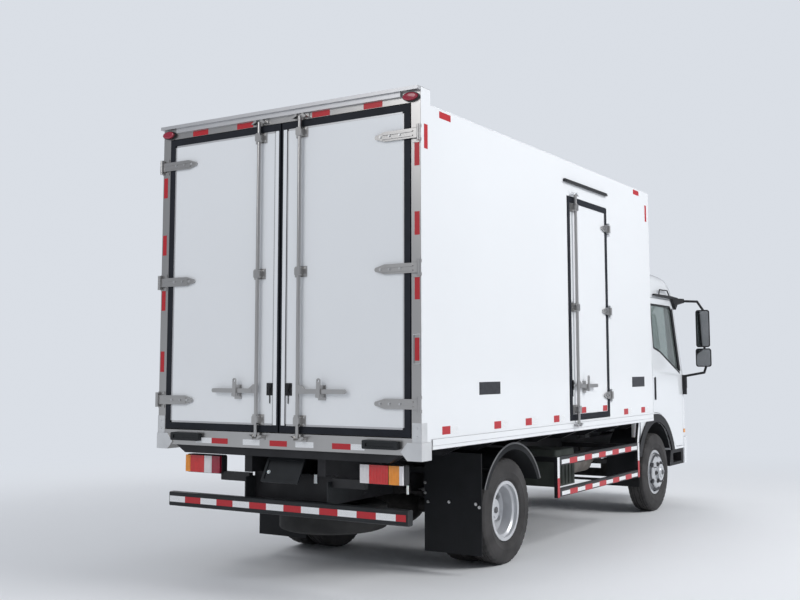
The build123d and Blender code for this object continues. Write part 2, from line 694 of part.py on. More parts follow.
DOORWAY_REAR_X = SIDE_DOOR_REAR_X + STOP_WIDTH
DOORWAY_FRONT_X = SIDE_DOOR_FRONT_X - STOP_WIDTH
SIDE_STOP_Y = -HALF_BOX + SEAL_DEPTH + 5
with BuildPart() as box_side_right:
    block((PORTAL_FRONT_X, BOX_FRONT_X), (-HALF_BOX, -HALF_BOX + WALL), (BOX_BOTTOM, WALL_TOP))
    block(
        (SIDE_DOOR_REAR_X, SIDE_DOOR_FRONT_X),
        (-HALF_BOX, SIDE_STOP_Y),
        (SIDE_DOOR_BOTTOM, SIDE_DOOR_TOP),
        mode=Mode.SUBTRACT,
    )
    block(
        (DOORWAY_REAR_X, DOORWAY_FRONT_X),
        (-HALF_BOX, -HALF_BOX + WALL),
        (SIDE_DOOR_BOTTOM + STOP_WIDTH, SIDE_DOOR_TOP - STOP_WIDTH),
        mode=Mode.SUBTRACT,
    )
    for height in SIDE_HINGE_HEIGHTS:
        for level in (1, -1):
            middle = height + level * (BARREL_HALF + BRACKET_HALF) / 2 + level * 0.5
            low = middle - (BRACKET_HALF - BARREL_HALF) / 2
            high = middle + (BRACKET_HALF - BARREL_HALF) / 2
            block((SIDE_HINGE_X - 8, SIDE_HINGE_X + 60), (-HALF_BOX - 12, -HALF_BOX), (low, high))
            with Locations((SIDE_HINGE_X, SIDE_HINGE_Y, middle)):
                Cylinder(HINGE_BARREL_RADIUS, high - low)
        with Locations((SIDE_HINGE_X, SIDE_HINGE_Y, height)):
            Cylinder(HINGE_PIN_RADIUS, 2 * BRACKET_HALF)
    keeper(SIDE_FACE, SIDE_ROD_REACH, SIDE_ROD_HIGH, -1)
finish(box_side_right, "box_side_right")

# Stainless rear portal: posts, header, sill, corner castings and hinge brackets

OPENING_HALF = HALF_BOX - POST_WIDTH
HINGE_Y = HALF_BOX - 2
HINGE_X = BOX_REAR_X - HINGE_STAND_OFF
CASTING_BOTTOM = 872
CASTING_TOP = 985
HINGE_PLATE = 5

with BuildPart() as rear_frame:
    with BuildSketch(Plane.YZ.offset(BOX_REAR_X)):
        Polygon(
            (-HALF_BOX, SILL_BOTTOM),
            (HALF_BOX, SILL_BOTTOM),
            (HALF_BOX, HEADER_TOP),
            (-HALF_BOX, HEADER_TOP),
            align=None,
        )
        Polygon(
            (-OPENING_HALF, DOORWAY_BOTTOM),
            (OPENING_HALF, DOORWAY_BOTTOM),
            (OPENING_HALF, DOORWAY_TOP),
            (-OPENING_HALF, DOORWAY_TOP),
            align=None,
            mode=Mode.SUBTRACT,
        )
    extrude(amount=PORTAL_DEPTH)
    with BuildSketch(Plane.YZ.offset(PORTAL_FRONT_X - STOP_DEPTH)):
        outer = OPENING_HALF
        inner = OPENING_HALF - STOP_WIDTH
        Polygon(
            (-outer, DOORWAY_BOTTOM),
            (outer, DOORWAY_BOTTOM),
            (outer, DOORWAY_TOP),
            (-outer, DOORWAY_TOP),
            align=None,
        )
        Polygon(
            (-inner, DOORWAY_BOTTOM + STOP_WIDTH),
            (inner, DOORWAY_BOTTOM + STOP_WIDTH),
            (inner, DOORWAY_TOP - STOP_WIDTH),
            (-inner, DOORWAY_TOP - STOP_WIDTH),
            align=None,
            mode=Mode.SUBTRACT,
        )
    extrude(amount=STOP_DEPTH)
    for side in (1, -1):
        with BuildSketch(Plane.YZ.offset(BOX_REAR_X - 6)):
            Polygon(
                (side * (HALF_BOX + 6), CASTING_BOTTOM),
                (side * (HALF_BOX + 6), CASTING_TOP),
                (side * (HALF_BOX - 100), CASTING_TOP),
                (side * (HALF_BOX - 150), SILL_BOTTOM + 20),
                (side * (HALF_BOX - 100), CASTING_BOTTOM),
                align=None,
            )
        extrude(amount=PORTAL_DEPTH)
        for height in REAR_HINGE_HEIGHTS:
            for level in (1, -1):
                middle = height + level * (BARREL_HALF + BRACKET_HALF) / 2 + level * 0.5
                low = middle - (BRACKET_HALF - BARREL_HALF) / 2
                high = middle + (BRACKET_HALF - BARREL_HALF) / 2
                near, far = sorted((side * (HINGE_Y - 9), side * (HINGE_Y + 9)))
                block((HINGE_X, BOX_REAR_X), (near, far), (low, high))
                with Locations((HINGE_X, side * HINGE_Y, middle)):
                    Cylinder(HINGE_BARREL_RADIUS, high - low)
                near, far = sorted((side * (OPENING_HALF + 10), side * HALF_BOX))
                plate_z = sorted((height + level * (BARREL_HALF + 6), height + level * (BRACKET_HALF + 8)))
                block((BOX_REAR_X - HINGE_PLATE, BOX_REAR_X), (near, far), plate_z)
            with Locations((HINGE_X, side * HINGE_Y, height)):
                Cylinder(HINGE_PIN_RADIUS, 2 * BRACKET_HALF)
        keeper(REAR_FACE, side * REAR_ROD_Y, ROD_LOW, 1)
        keeper(REAR_FACE, side * REAR_ROD_Y, ROD_HIGH, -1)
finish(rear_frame, "rear_frame")

# Aluminium mouldings: rain rail, lower side rails and front corner posts

RAIL_PROUD = 8
SIDE_RAIL_TOP = 1002
RAIN_RAIL_DEPTH = 37
RAIL_STEP_DEPTH = 20
RAIL_STEP_HALF = 990
with BuildPart() as body_rails:
    with BuildSketch(Plane.XZ):
        Polygon(
            (BOX_REAR_X - RAIN_RAIL_DEPTH, HEADER_TOP + 4),
            (BOX_REAR_X - RAIN_RAIL_DEPTH, HEADER_TOP - 20),
            (BOX_REAR_X, HEADER_TOP - 20),
            (BOX_REAR_X, HEADER_TOP),
            (PORTAL_FRONT_X, HEADER_TOP),
            (PORTAL_FRONT_X, HEADER_TOP + 4),
            align=None,
        )
    extrude(amount=HALF_BOX, both=True)
    block(
        (BOX_REAR_X - RAIL_STEP_DEPTH, BOX_REAR_X),
        (-RAIL_STEP_HALF, RAIL_STEP_HALF),
        (HEADER_TOP - 52, HEADER_TOP - 20),
    )
    for side in (1, -1):
        with BuildSketch(Plane.YZ.offset(PORTAL_FRONT_X)):
            Polygon(
                (side * HALF_BOX, BOX_BOTTOM),
                (side * (HALF_BOX + RAIL_PROUD), BOX_BOTTOM),
                (side * (HALF_BOX + RAIL_PROUD), BOX_BOTTOM + 24),
                (side * (HALF_BOX + 5), BOX_BOTTOM + 28),
                (side * (HALF_BOX + 5), SIDE_RAIL_TOP - 4),
                (side * HALF_BOX, SIDE_RAIL_TOP),
                align=None,
            )
        extrude(amount=BOX_FRONT_X - PORTAL_FRONT_X)
    keeper(SIDE_FACE, SIDE_ROD_REACH, SIDE_ROD_LOW, 1)
finish(body_rails, "body_rails")

# Refrigeration unit: the condenser on the front wall and the evaporator inside it

UNIT_HALF_WIDTH = 800
UNIT_TOP = BOX_TOP - 95
UNIT_BOTTOM = UNIT_TOP - 580
UNIT_DEPTH = 430
FAN_PITCH = 820
FAN_RADIUS = 190
FAN_HUB = 60
FAN_RECESS = 90
GRILLE_SLOTS = 7
with BuildPart() as cooling_unit:
    with BuildSketch(Plane.XZ):
        with BuildLine():
            Polyline(
                (BOX_FRONT_X, UNIT_TOP),
                (BOX_FRONT_X, UNIT_BOTTOM),
                (BOX_FRONT_X + UNIT_DEPTH - 90, UNIT_BOTTOM),
                (BOX_FRONT_X + UNIT_DEPTH, UNIT_BOTTOM + 90),
                (BOX_FRONT_X + UNIT_DEPTH - 60, UNIT_TOP - 80),
            )
            ThreePointArc(
                (BOX_FRONT_X + UNIT_DEPTH - 60, UNIT_TOP - 80),
                (BOX_FRONT_X + UNIT_DEPTH - 100, UNIT_TOP - 25),
                (BOX_FRONT_X + UNIT_DEPTH - 170, UNIT_TOP),
            )
            Line((BOX_FRONT_X + UNIT_DEPTH - 170, UNIT_TOP), (BOX_FRONT_X, UNIT_TOP))
        make_face()
    extrude(amount=UNIT_HALF_WIDTH, both=True)
    with BuildSketch(Plane.XY.offset(UNIT_BOTTOM)):
        with Locations((BOX_FRONT_X, 0)):
            RectangleRounded(2 * UNIT_DEPTH, 2 * UNIT_HALF_WIDTH, 60)
    extrude(amount=UNIT_TOP - UNIT_BOTTOM, mode=Mode.INTERSECT)
    with BuildSketch(Plane.YZ.offset(BOX_FRONT_X + UNIT_DEPTH + 5)):
        with Locations((0, (UNIT_TOP + UNIT_BOTTOM) / 2 - 10)):
            with GridLocations(FAN_PITCH, 1, 2, 1):
                Circle(FAN_RADIUS)
                Circle(FAN_HUB, mode=Mode.SUBTRACT)
    extrude(amount=-FAN_RECESS, mode=Mode.SUBTRACT)
    for level in range(GRILLE_SLOTS):
        low = UNIT_BOTTOM + 110 + level * 45
        block(
            (BOX_FRONT_X + UNIT_DEPTH - 60, BOX_FRONT_X + UNIT_DEPTH + 5),
            (-FAN_PITCH / 2 + FAN_RADIUS + 30, FAN_PITCH / 2 - FAN_RADIUS - 30),
            (low, low + 22),
            mode=Mode.SUBTRACT,
        )
    with BuildSketch(Plane.XZ):
        Polygon(
            (BOX_FRONT_X - WALL, WALL_TOP),
            (BOX_FRONT_X - WALL, WALL_TOP - 260),
            (BOX_FRONT_X - WALL - 420, WALL_TOP - 180),
            (BOX_FRONT_X - WALL - 520, WALL_TOP - 60),
            (BOX_FRONT_X - WALL - 520, WALL_TOP),
            align=None,
        )
    extrude(amount=520, both=True)
finish(cooling_unit, "cooling_unit")

# Rear lamps on brackets from the frame's end, and oval marker lamps on the header

LAMP_X = REAR_AXLE_X - 1418
TAIL_LAMP_Y = (602, 942)
TAIL_LAMP_Z = (702, 832)
MARKER_Y = 1067
with BuildPart() as tail_lamps:
    for side in (1, -1):
        middle = side * (TAIL_LAMP_Y[0] + TAIL_LAMP_Y[1]) / 2
        length = TAIL_LAMP_Y[1] - TAIL_LAMP_Y[0]
        height = TAIL_LAMP_Z[1] - TAIL_LAMP_Z[0]
        with BuildSketch(Plane.YZ.offset(LAMP_X + 18)):
            with Locations((middle, (TAIL_LAMP_Z[0] + TAIL_LAMP_Z[1]) / 2)):
                RectangleRounded(length, height, 16)
        extrude(amount=52)
        with BuildSketch(Plane.YZ.offset(LAMP_X)):
            with Locations((middle, (TAIL_LAMP_Z[0] + TAIL_LAMP_Z[1]) / 2)):
                RectangleRounded(length - 12, height - 12, 12)
        extrude(amount=18)
        inner, mid = sorted((side * (FRAME_WIDTH / 2 + 10), side * (TAIL_LAMP_Y[0] + 20)))
        block((LAMP_X + 30, LAMP_X + 70), (inner, mid), (660, 720))
        for radii, proud in (((60, 31), 18), ((54, 25), 28)):
            with BuildSketch(Plane.YZ.offset(BOX_REAR_X)):
                with Locations((side * MARKER_Y, HEADER_TOP - 60)):
                    Ellipse(*radii)
            extrude(amount=-proud)
finish(tail_lamps, "tail_lamps")

# Rear bumper bar on two hanging brackets, with rubber buffers on the sill and the plate holder

BUMPER_X = REAR_AXLE_X - 1463
BUMPER_DEPTH = 60
BUMPER_FACE = BUMPER_X + BUMPER_DEPTH / 2
BUFFER_Y = (705, 975)
HOLDER_HALF = 160
HOLDER_TOP = (REAR_AXLE_X - 1415, SUBFRAME_SPLIT - 8)
HOLDER_LOW = (REAR_AXLE_X - 1500, 680)
with BuildPart() as rear_bumper:
    with BuildSketch(Plane.XZ):
        with Locations((BUMPER_X, 515)):
            RectangleRounded(BUMPER_DEPTH, 100, 12)
    extrude(amount=1022, both=True)
    for side in (1, -1):
        with BuildSketch(Plane.XZ.offset(-side * FRAME_WIDTH / 2)):
            Polygon(
                (BUMPER_FACE - 0.3, 470),
                (REAR_AXLE_X - 1340, 545),
                (REAR_AXLE_X - 1200, RAIL_BOTTOM),
                (REAR_AXLE_X - 1200, 700),
                (BUMPER_FACE - 0.3, 700),
                align=None,
            )
        extrude(amount=-side * 10)
        with BuildSketch(Plane.YZ.offset(BOX_REAR_X)):
            with Locations((side * (BUFFER_Y[0] + BUFFER_Y[1]) / 2, SILL_BOTTOM + 61)):
                RectangleRounded(BUFFER_Y[1] - BUFFER_Y[0], 56, 10)
        extrude(amount=-35)
        with BuildSketch(Plane.YZ.offset(BOX_REAR_X - 35)):
            with Locations((side * (BUFFER_Y[0] + BUFFER_Y[1]) / 2, SILL_BOTTOM + 61)):
                RectangleRounded(BUFFER_Y[1] - BUFFER_Y[0] - 50, 26, 8)
        extrude(amount=8, mode=Mode.SUBTRACT)
    slope = Vector(HOLDER_LOW[0] - HOLDER_TOP[0], 0, HOLDER_LOW[1] - HOLDER_TOP[1])
    outward = slope.cross(Vector(0, -1, 0))
    holder = Plane(origin=(HOLDER_TOP[0], 0, HOLDER_TOP[1]), x_dir=(0, -1, 0), z_dir=outward)
    with BuildSketch(holder):
        with Locations((0, -slope.length / 2)):
            RectangleRounded(2 * HOLDER_HALF, slope.length, 8)
    extrude(amount=-4)
    with BuildSketch(holder):
        with Locations((0, -slope.length / 2)):
            RectangleRounded(2 * HOLDER_HALF, slope.length, 8)
            RectangleRounded(2 * HOLDER_HALF - 40, slope.length - 40, 6, mode=Mode.SUBTRACT)
    extrude(amount=8)
    block((HOLDER_TOP[0] - 4, HOLDER_TOP[0] + 7), (-110, 110), (HOLDER_TOP[1] - 20, SUBFRAME_SPLIT))
finish(rear_bumper, "rear_bumper")

# Side guards between the axles

GUARD_REAR_X = REAR_AXLE_X + 630
GUARD_FRONT_X = FRONT_AXLE_X - 865
GUARD_Y = 1080
with BuildPart() as side_guards:
    for side in (1, -1):
        near, far = sorted((side * (GUARD_Y - 30), side * GUARD_Y))
        for low, high in ((425, 490), (670, 740)):
            block((GUARD_REAR_X, GUARD_FRONT_X), (near, far), (low, high))
        for place in (GUARD_REAR_X, GUARD_FRONT_X - 45):
            block((place, place + 45), (near, far), (420, 740))
        for place in (GUARD_REAR_X + 120, GUARD_FRONT_X - 120):
            inner, outer = sorted((side * FRAME_WIDTH / 2, side * (GUARD_Y - 30)))
            block((place - 20, place + 20), (inner, outer), (690, 730))
finish(side_guards, "side_guards")

# Rear mudguards over the twin wheels, with their flaps

GUARD_RADIUS = 455
GUARD_PLATE = 6
LIP_RADIUS = 505
MUDGUARD_INNER = 540
MUDGUARD_OUTER = 1010
FLAP_X = REAR_AXLE_X - 505
STAY_RADIUS = 14
STAY_REACH = 340
STAY_Z = WHEEL_Z + sqrt((GUARD_RADIUS + GUARD_PLATE + STAY_RADIUS - 4) ** 2 - STAY_REACH ** 2)
with BuildPart() as rear_mudguards:
    for side in (1, -1):
        with BuildSketch(Plane.XZ.offset(-side * MUDGUARD_INNER)):
            with Locations((REAR_AXLE_X, WHEEL_Z)):
                Circle(GUARD_RADIUS + GUARD_PLATE)
                Circle(GUARD_RADIUS, mode=Mode.SUBTRACT)
            with Locations((REAR_AXLE_X, WHEEL_Z - 300)):
                Rectangle(1200, 1000, mode=Mode.SUBTRACT)
        extrude(amount=-side * (MUDGUARD_OUTER - MUDGUARD_INNER))
        with BuildSketch(Plane.XZ.offset(-side * MUDGUARD_OUTER)):
            with Locations((REAR_AXLE_X, WHEEL_Z)):
                Circle(LIP_RADIUS)
                Circle(GUARD_RADIUS, mode=Mode.SUBTRACT)
            with Locations((REAR_AXLE_X, WHEEL_Z - 300)):
                Rectangle(1200, 1000, mode=Mode.SUBTRACT)
        extrude(amount=side * GUARD_PLATE)
        near, far = sorted((side * MUDGUARD_INNER, side * MUDGUARD_OUTER))
        block((FLAP_X, FLAP_X + 8), (near, far), (135, SUBFRAME_SPLIT - 5))
        inner, outer = sorted((side * FRAME_WIDTH / 2, side * MUDGUARD_INNER))
        block((FLAP_X, FLAP_X + 40), (inner, outer), (690, 730))
        for reach in (-STAY_REACH, STAY_REACH):
            place = REAR_AXLE_X + reach
            stay_end = (place, side * (MUDGUARD_OUTER - 10), STAY_Z)
            rod((place, side * FRAME_WIDTH / 2, STAY_Z), stay_end, STAY_RADIUS)
finish(rear_mudguards, "rear_mudguards")


# Insulated doors: an outer leaf in the rebate, a plug behind it and a rubber seal round the edge

SEAM_GAP = 7
DOOR_WIDTH = OPENING_HALF - DOOR_GAP - SEAM_GAP
DOOR_BOTTOM = DOORWAY_BOTTOM + DOOR_GAP
DOOR_HEIGHT = DOORWAY_TOP - DOORWAY_BOTTOM - 2 * DOOR_GAP
GEAR_SEAT = 0.3
STRAP_OUT = (SEAL_PROUD + GEAR_SEAT, SEAL_PROUD + 12.3)


def door_seal(face, x, y):
    """Rubber seal let into the edge of a door leaf, a little proud of it."""
    with BuildPart() as ring:
        between(face, x, y, (-SEAL_DEPTH, SEAL_PROUD))
        between(
            face,
            (x[0] + SEAL_WIDTH, x[1] - SEAL_WIDTH),
            (y[0] + SEAL_WIDTH, y[1] - SEAL_WIDTH),
            (-SEAL_DEPTH, SEAL_PROUD),
            mode=Mode.SUBTRACT,
        )
    return ring


def hinge_strap(face, hinge, seal_edge, height, reach):
    """Stamped strap with a pointed end and two ribs, from the hinge's barrel on to the door leaf."""
    tip = hinge - reach
    with BuildSketch(face.offset(STRAP_OUT[0])) as strap:
        with BuildLine():
            Polyline((tip + 18, height + 15), (tip + 75, height + BARREL_HALF), (hinge, height + BARREL_HALF))
            Line((hinge, height + BARREL_HALF), (hinge, height - BARREL_HALF))
            Polyline((hinge, height - BARREL_HALF), (tip + 75, height - BARREL_HALF), (tip + 18, height - 15))
            ThreePointArc((tip + 18, height - 15), (tip, height), (tip + 18, height + 15))
        make_face()
    extrude(strap.sketch, amount=STRAP_OUT[1] - STRAP_OUT[0])
    for level in (height - 14, height + 14):
        with BuildSketch(face.offset(STRAP_OUT[1])) as rib:
            with Locations(((tip + hinge) / 2 + 5, level)):
                SlotOverall(hinge - tip - 100, 11)
        extrude(rib.sketch, amount=6)
    between(face, (tip + 45, seal_edge - 8), (height - 22, height + 22), (GEAR_SEAT, STRAP_OUT[1]))
    pin_line = face.offset(HINGE_STAND_OFF).from_local_coords(Vector(hinge, height, 0))
    with Locations(pin_line):
        Cylinder(HINGE_BARREL_RADIUS, 2 * BARREL_HALF)
        Cylinder(HINGE_PIN_RADIUS + PIN_CLEARANCE, 2 * BRACKET_HALF, mode=Mode.SUBTRACT)


def rod_guide(face, place, height):
    """Saddle that holds a lock rod on the door, with a bolting plate behind it."""
    between(face, (place - 50, place + 50), (height - 36, height + 36), (GEAR_SEAT, 6))
    with BuildSketch(face.offset(GEAR_SEAT)) as saddle:
        with Locations((place, height)):
            RectangleRounded(46, 60, 14)
    extrude(saddle.sketch, amount=ROD_STAND_OFF + ROD_RADIUS + 5 - GEAR_SEAT)


def lock_rod(face, place, ends, guides):
    """Lock rod with its saddles, and the lever that turns it, held in a hasp."""
    axis = face.offset(ROD_STAND_OFF)
    low = axis.from_local_coords(Vector(place, ends[0], 0))
    high = axis.from_local_coords(Vector(place, ends[1], 0))
    rod(low, high, ROD_RADIUS)
    for height in guides:
        rod_guide(face, place, height)
    with BuildSketch(face.offset(ROD_STAND_OFF - 8)) as gusset:
        Polygon(
            (place, LEVER_Z - 16),
            (place, LEVER_Z + 44),
            (place + 22, LEVER_Z + 44),
            (place + 62, LEVER_Z + 16),
            (place + 62, LEVER_Z - 16),
            align=None,
        )
    extrude(gusset.sketch, amount=16)
    with BuildSketch(face.offset(ROD_STAND_OFF - 5)) as lever:
        with Locations((place + 214, LEVER_Z)):
            SlotOverall(370, 30)
    extrude(lever.sketch, amount=15)
    between(face, (place + 154, place + 214), (LEVER_Z - 58, LEVER_Z + 40), (GEAR_SEAT, 7))
    between(face, (place + 160, place + 208), (LEVER_Z - 40, LEVER_Z - 16), (GEAR_SEAT, 46))
    with BuildSketch(face.offset(ROD_STAND_OFF + 10)) as hasp:
        with Locations((place + 184, LEVER_Z + 22)):
            SlotOverall(130, 30, rotation=90)
        with Locations((place + 184, LEVER_Z + 68)):
            Circle(8, mode=Mode.SUBTRACT)
    extrude(hasp.sketch, amount=9)


# Rear doors, hinged at the posts

REAR_DOOR_X = (SEAM_GAP, SEAM_GAP + DOOR_WIDTH)
REAR_DOOR_Z = (DOOR_BOTTOM, DOOR_BOTTOM + DOOR_HEIGHT)
with BuildPart() as rear_door:
    between(REAR_FACE, REAR_DOOR_X, REAR_DOOR_Z, (-LEAF_THICKNESS, -SEAL_DEPTH))
    between(
        REAR_FACE,
        (REAR_DOOR_X[0] + SEAL_WIDTH, REAR_DOOR_X[1] - SEAL_WIDTH),
        (REAR_DOOR_Z[0] + SEAL_WIDTH, REAR_DOOR_Z[1] - SEAL_WIDTH),
        (-SEAL_DEPTH, 0),
    )
    between(
        REAR_FACE,
        (SEAM_GAP + PLUG_GAP, OPENING_HALF - STOP_WIDTH - PLUG_GAP),
        (DOORWAY_BOTTOM + STOP_WIDTH + PLUG_GAP, DOORWAY_TOP - STOP_WIDTH - PLUG_GAP),
        (-LEAF_THICKNESS - PLUG_THICKNESS, -LEAF_THICKNESS),
    )
pair(rear_door, "rear_door", "right")
pair(door_seal(REAR_FACE, REAR_DOOR_X, REAR_DOOR_Z), "rear_seal", "right")

REAR_GUIDES = (DOORWAY_BOTTOM + 89, (DOORWAY_BOTTOM + DOORWAY_TOP) / 2 + 20, DOORWAY_TOP - 90)
with BuildPart() as rear_gear:
    lock_rod(REAR_FACE, REAR_ROD_Y, (ROD_LOW, ROD_HIGH), REAR_GUIDES)
    for height in REAR_HINGE_HEIGHTS:
        hinge_strap(REAR_FACE, HINGE_Y, REAR_DOOR_X[1] - SEAL_WIDTH, height, REAR_HINGE_REACH)
pair(rear_gear, "rear_lock_gear", "right")

# Side door, hinged at its front edge

SIDE_WIDTH = SIDE_DOOR_FRONT_X - SIDE_DOOR_REAR_X
SIDE_LEAF_X = (DOOR_GAP, SIDE_WIDTH - DOOR_GAP)
SIDE_LEAF_Z = (SIDE_DOOR_BOTTOM + DOOR_GAP, SIDE_DOOR_TOP - DOOR_GAP)
with BuildPart() as side_door:
    between(
        SIDE_FACE,
        (SIDE_LEAF_X[0] + SEAL_WIDTH, SIDE_LEAF_X[1] - SEAL_WIDTH),
        (SIDE_LEAF_Z[0] + SEAL_WIDTH, SIDE_LEAF_Z[1] - SEAL_WIDTH),
        (-SEAL_DEPTH, 0),
    )
    between(
        SIDE_FACE,
        (STOP_WIDTH + PLUG_GAP, SIDE_WIDTH - STOP_WIDTH - PLUG_GAP),
        (SIDE_DOOR_BOTTOM + STOP_WIDTH + PLUG_GAP, SIDE_DOOR_TOP - STOP_WIDTH - PLUG_GAP),
        (-WALL, -SEAL_DEPTH),
    )
finish(side_door, "side_door")
finish(door_seal(SIDE_FACE, SIDE_LEAF_X, SIDE_LEAF_Z), "side_seal")

SIDE_GUIDES = (SIDE_DOOR_BOTTOM + 92, (SIDE_DOOR_BOTTOM + SIDE_DOOR_TOP) / 2, SIDE_DOOR_TOP - 92)
with BuildPart() as side_lock_gear:
    lock_rod(SIDE_FACE, SIDE_ROD_REACH, (SIDE_ROD_LOW, SIDE_ROD_HIGH), SIDE_GUIDES)
    for height in SIDE_HINGE_HEIGHTS:
        hinge_strap(SIDE_FACE, SIDE_WIDTH + 12, SIDE_LEAF_X[1] - SEAL_WIDTH, height, SIDE_HINGE_REACH)
finish(side_lock_gear, "side_lock_gear")

# Cab: one outer form, and the same form set in by the wall, cut where the real panels meet

CAB_FRONT = FRONT_AXLE_X + FRONT_OVERHANG - 20
BELT_Z = 1400
ROOF_FRONT_X = FRONT_AXLE_X + 560
SCREEN_TOP = (FRONT_AXLE_X + 850, 2180)
SCREEN_FOOT = (FRONT_AXLE_X + 1040, 1290)
NOSE = (FRONT_AXLE_X + 1062, 900)
CAB_SPAN = (CAB_BACK_X - 10, CAB_FRONT + 50)
ALL_Y = (-1000, 1000)
ABOVE = 3000


def cab_form(inset):
    """The cab's closed outer form, moved inwards by an inset."""
    with BuildPart() as form:
        with BuildSketch(Plane.XZ):
            with BuildLine():
                Polyline(
                    (NOSE[0] - 10, CAB_BOTTOM),
                    (CAB_BACK_X, CAB_BOTTOM),
                    (CAB_BACK_X, CAB_ROOF - 12),
                    (FRONT_AXLE_X + 60, CAB_ROOF),
                    (ROOF_FRONT_X, CAB_ROOF - 12),
                )
                ThreePointArc(
                    (ROOF_FRONT_X, CAB_ROOF - 12), (ROOF_FRONT_X + 180, SCREEN_TOP[1] + 172), SCREEN_TOP
                )
                Line(SCREEN_TOP, SCREEN_FOOT)
                ThreePointArc(SCREEN_FOOT, (NOSE[0] - 3, 1150), NOSE)
                Line(NOSE, (NOSE[0] - 10, CAB_BOTTOM))
            make_face()
            offset(amount=-inset, kind=Kind.INTERSECTION)
        extrude(amount=CAB_HALF_WIDTH, both=True)
        with BuildSketch(Plane.YZ.offset(CAB_BACK_X)):
            shoulder = CAB_ROOF - CAB_SHOULDER_DROP
            bend = CAB_SHOULDER_Y - CAB_SHOULDER_DROP
            with BuildLine():
                Polyline(
                    (-CAB_SHOULDER_Y, shoulder),
                    (-CAB_HALF_WIDTH, BELT_Z),
                    (-CAB_HALF_WIDTH, CAB_BOTTOM),
                    (CAB_HALF_WIDTH, CAB_BOTTOM),
                    (CAB_HALF_WIDTH, BELT_Z),
                    (CAB_SHOULDER_Y, shoulder),
                )
                RadiusArc((CAB_SHOULDER_Y, shoulder), (bend, CAB_ROOF), -100)
                Line((bend, CAB_ROOF), (-bend, CAB_ROOF))
                RadiusArc((-bend, CAB_ROOF), (-CAB_SHOULDER_Y, shoulder), -100)
            make_face()
            offset(amount=-inset, kind=Kind.INTERSECTION)
        extrude(amount=2000, mode=Mode.INTERSECT)
        front = form.edges().filter_by(
            lambda e: e.center().X > ROOF_FRONT_X + 95
            and abs(e.center().Y) > 780
            and CAB_BOTTOM + inset + 1 < e.center().Z < SCREEN_TOP[1] - 30
        )
        fillet(front, CAB_CORNER_RADIUS - inset)
    return form.part


CAB_OUTER = cab_form(0)
CAB_INNER = cab_form(CAB_WALL)
WINDOW_DEPTH = 14
GLASS_OUTER = cab_form(WINDOW_DEPTH)
GLASS_INNER = cab_form(WINDOW_DEPTH + 6)

DOOR_SILL_Z = 600
DOOR_TOP_Z = 2175
WINDOW_TOP_Z = 2098
DOOR_OUTLINE = (
    # X and Z of the door's opening
    (CAB_DOOR_REAR_X, WHEEL_Z + ARCH_RADIUS + ARCH_LIP + 20),
    (CAB_DOOR_REAR_X, DOOR_TOP_Z),
    (FRONT_AXLE_X + 630, DOOR_TOP_Z),
    (FRONT_AXLE_X + 728, 2110),
    (CAB_DOOR_FRONT_X, 1390),
    (CAB_DOOR_FRONT_X, DOOR_SILL_Z),
    (FRONT_AXLE_X + 660, DOOR_SILL_Z),
)
WINDOW_OUTLINE = (
    # X and Z of the glass, whose lower edge drops towards the front
    (CAB_DOOR_REAR_X + 85, 1650),
    (CAB_DOOR_REAR_X + 85, WINDOW_TOP_Z),
    (FRONT_AXLE_X + 640, WINDOW_TOP_Z),
    (FRONT_AXLE_X + 692, 2062),
    (FRONT_AXLE_X + 812, 1388),
    (FRONT_AXLE_X + 528, 1493),
    (FRONT_AXLE_X + 212, 1612),
)
SCREEN_LOW = 1330
SCREEN_HIGH = 2150
SCREEN_HALF = 780


def prism(outline, low, high, mode=Mode.ADD, shrink=0, corner=0):
    """An XZ outline carried along Y from low to high."""
    with BuildSketch(Plane.XZ.offset(-low)) as section:
        Polygon(*outline, align=None)
        if shrink:
            offset(amount=-shrink, kind=Kind.INTERSECTION)
        if corner:
            fillet(section.vertices(), corner)
    extrude(section.sketch, amount=-(high - low), mode=mode)


def front_cut(outline, x, mode=Mode.SUBTRACT, grow=0):
    """A YZ outline and its mirror image, carried along X between two places."""
    for side in (1, -1):
        with BuildSketch(Plane.YZ.offset(x[0])) as section:
            Polygon(*[(side * y, z) for y, z in outline], align=None)
            if grow:
                offset(amount=grow, kind=Kind.INTERSECTION)
        extrude(section.sketch, amount=x[1] - x[0], mode=mode)


def arch_cut(low, high, radius):
    with Locations((FRONT_AXLE_X, (low + high) / 2, WHEEL_Z)):
        Cylinder(radius, high - low, rotation=(90, 0, 0), mode=Mode.SUBTRACT)


ROOF_SPLIT = 2215
FLOOR_Z = 960
PANEL_X = FRONT_AXLE_X + 905
PANEL_BOTTOM = CAB_BOTTOM + 15
BUMPER_LOW = 408
BUMPER_TOP = 690
FACE_BOTTOM = BUMPER_TOP + 10
CAB_MOUNT_PLACES = (CAB_BACK_X + 110, FRONT_AXLE_X + 760)
GRILLE_HALF = 500
GRILLE_Z = (905, 1085)
LAMP_OUTLINE = (
    # Y and Z of the left headlamp, seen from the front
    (545, 722),
    (560, 838),
    (700, 868),
    (940, 880),
    (940, 800),
    (780, 722),
)

with BuildPart() as cab_roof:
    add(CAB_OUTER)
    add(CAB_INNER, mode=Mode.SUBTRACT)
    block(CAB_SPAN, ALL_Y, (0, SCREEN_HIGH), mode=Mode.SUBTRACT)
    block((CAB_BACK_X - 10, ROOF_FRONT_X), ALL_Y, (0, ROOF_SPLIT), mode=Mode.SUBTRACT)
    for side in (1, -1):
        near, far = sorted((side * SCREEN_HALF, side * ALL_Y[1]))
        block(CAB_SPAN, (near, far), (0, ROOF_SPLIT), mode=Mode.SUBTRACT)
finish(cab_roof, "cab_roof")

